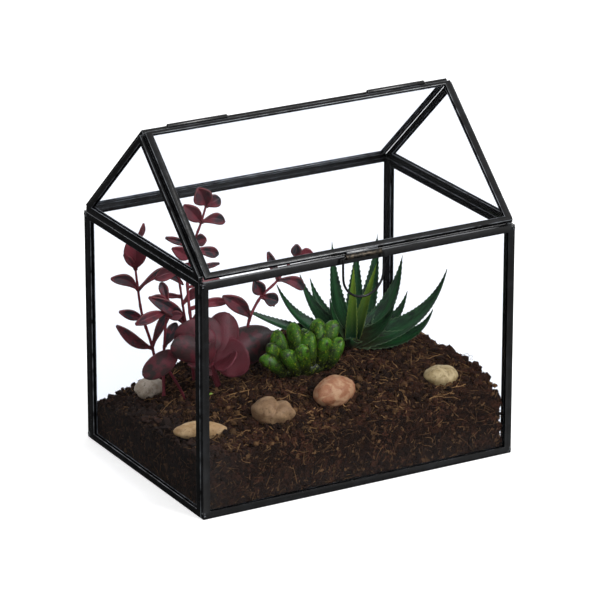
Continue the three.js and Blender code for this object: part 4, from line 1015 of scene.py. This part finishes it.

# ----------------------------------------------------- Plump finger cluster
# A clump of glossy, swollen finger leaves that spread from one crown. They are
# bright green towards their blunt tips and grade down to near black at their
# feet: olive there in colour, with painted shade where they crowd.
juicy, shader, add = new_material("glossy_finger_skin", specular_ior_level=0.24)
place = (add("TexCoord"), "Object")
along = (add("Attribute", attribute_name="along"), "Fac")
blotch = add("TexNoise", {"Vector": place, "Scale": per_mm(3.4), "Detail": 5.0})
grain = add("TexNoise", {"Vector": place, "Scale": per_mm(1.1), "Detail": 4.0})
blotch_share = add("MapRange", {"Value": blotch, "From Min": 0.42, "From Max": 0.64})
# Darker towards each finger's foot and on the crown: partly olive colour, partly painted shade where the
# fingers crowd; the green takes over towards the tips.
foot = add("MapRange", {"Value": along, "From Min": 0.3, "From Max": 1.0})
speck_share = add("MapRange", {"Value": grain, "From Min": 0.56, "From Max": 0.72, "To Max": 0.6})
gloss = add("MapRange", {"Value": grain, "To Min": 0.26, "To Max": 0.5})
relief = add("Bump", {"Height": blotch, "Strength": 0.45, "Distance": 0.7 * MM})
layers = {"447612": foot, "1d270b": blotch_share, "a3b42c": speck_share}
paint(shader, add, "0c1106", layers, Roughness=gloss, Normal=relief)

finger_root = on_ground(-2, -12)
FINGER_HEIGHTS = [0, 0.04, 0.12, 0.42, 0.68, 0.86, 0.95, 1]
FINGER_RADII = [0, 0.6, 0.86, 1.04, 1.04, 0.84, 0.54, 0]
finger_plan = [
    # base x, y and tip x, y, z, radius
    (-16, -12, -34, -12, 70, 5.2), (-14, -11, -28, -12, 78, 5.2), (-10, -9, -20, -6, 84, 5.6),
    (-6, -10, -8, -6, 87, 5.6), (-9, -15, -22, -20, 74, 5.2), (-4, -15, -10, -22, 77, 5.4),
    (0, -13, 0, -14, 82, 5.4), (4, -9, 10, -8, 87, 6.0), (6, -14, 9, -20, 78, 5.2),
    (10, -10, 22, -9, 84, 5.8), (10, -14, 20, -20, 76, 5.2), (-11, -6, -17, 3, 75, 5),
    (2, -5, 6, 4, 77, 5.2),
]


def finger(name, base, tip, radius, seed):
    """A swollen finger, a little bent, with three soft ribs towards its blunt point."""
    base, tip = Vector(base), Vector(tip)
    axis = tip - base
    turn = np.array(Quaternion(Vector((0, 0, 1)).rotation_difference(axis.normalized())).to_matrix())
    length = axis.length

    def place(t, angle):
        height = (1 - np.cos(np.pi * t)) / 2
        body = radius * np.interp(height, FINGER_HEIGHTS, FINGER_RADII)
        ribs = 0.11 * np.cos(3 * angle + seed) + 0.05 * np.cos(5 * angle + 2 * seed)
        knobs = 0.05 * np.sin(9 * height + seed) * np.cos(2 * angle - seed)
        body = body * (1 + ribs * height ** 0.5 + knobs)
        bow = 0.06 * length * np.sin(np.pi * height)
        x = body * np.cos(angle) + bow * math.cos(seed)
        y = body * np.sin(angle) + bow * math.sin(seed)
        local = np.column_stack((x, y, height * length))
        return local @ turn.T + np.array(base), {"along": height}

    form = moulded_sphere(name, 18, 22, place)
    apply_modifier(form, "soften", "SMOOTH", factor=0.5, iterations=2)
    return form


pieces = [moulded_sphere("finger_crown", 24, 12, lambda t, angle: (
    np.array(finger_root) + round_crown(t, angle, 18, 7.5, 4 - 5.5 * np.cos(np.pi * t)), {"along": 0},
))]
for index, (base_x, base_y, x, y, z, radius) in enumerate(finger_plan):
    base = (base_x, base_y, finger_root.z + 1.5)
    pieces.append(finger(f"finger_{index}", base, (x, y, z), radius, index * 1.7))
dress(join("plump_fingers", pieces), "case", "finger_leaf", juicy, "finger_cluster")

# ------------------------------------------------------------------- Studio
# A seamless white sweep under soft light: a large lamp high in front and to the
# right, a weaker one from the left, and a ceiling that is brighter than the walls.
# The sweep itself is kept out of the reflections, as black cards do beside a set.
floor = add_primitive("studio_floor", bpy.ops.mesh.primitive_plane_add, size=14, location=(0, 2, -0.0002))
sweep, shader, add = new_material(
    "white_sweep", base_color=(0.8, 0.8, 0.8, 1), roughness=0.9, specular_ior_level=0.1,
    emission_color=(1, 1, 1, 1), emission_strength=0.48,
)
floor.data.materials.append(sweep)
floor.visible_diffuse = False
floor.visible_glossy = False


def soft_lamp(name, at, size, power):
    """A square soft box that faces the case."""
    light = bpy.data.lights.new(name, "AREA")
    light.shape = "SQUARE"
    light.size = size
    light.energy = power
    lamp = add_object(name, light)
    lamp.location = at
    aim = Vector((0, 0, 0.08)) - Vector(at)
    lamp.rotation_euler = aim.to_track_quat("-Z", "Y").to_euler()


soft_lamp("key_box", (1.0, -1.9, 1.8), 0.9, 53)
soft_lamp("fill_box", (-1.8, -0.9, 1.2), 1.2, 2)
world = bpy.data.worlds.new("white_room")
bpy.context.scene.world = world
world.use_nodes = True
add = functools.partial(add_node, world.node_tree)
ray = add("SeparateXYZ", {0: (add("TexCoord"), "Generated")})
overhead = add(
    "MapRange", {"Value": (ray, "Z"), "From Min": -0.1, "From Max": 0.6, "To Min": 0.05, "To Max": 0.52},
)
front = add("MapRange", {"Value": (ray, "Y"), "From Min": -0.2, "From Max": -0.9, "To Max": 0.7})
above_floor = add("MapRange", {"Value": (ray, "Z"), "From Max": 0.3})
back = add("MapRange", {"Value": (ray, "Y"), "From Min": 0.3, "From Max": 0.8, "To Max": 1.3})
back_wall = add("Math", {0: back, 1: above_floor}, operation="MULTIPLY")
front_low = add(
    "MapRange", {"Value": (ray, "Z"), "From Min": -0.32, "From Max": -0.12, "To Min": 0.5, "To Max": 1.15},
)
front_wall = add("Math", {0: front, 1: front_low}, operation="MULTIPLY")
walls = add("Math", {0: front_wall, 1: back_wall}, operation="ADD")
room = add("Math", {0: overhead, 1: walls}, operation="ADD")
plug(world.node_tree.nodes["Background"], {"Color": (1, 1, 1, 1), "Strength": room})

eye = bpy.data.cameras.new("camera")
camera = add_object("camera", eye)
camera.location = (-1.22845, -2.17100, 1.02057)
camera.rotation_euler = (1.21669, -0.00057, -0.51509)
eye.sensor_width = 36
eye.lens = 252.609
bpy.context.scene.camera = camera
bpy.context.scene.view_settings.view_transform = "Standard"
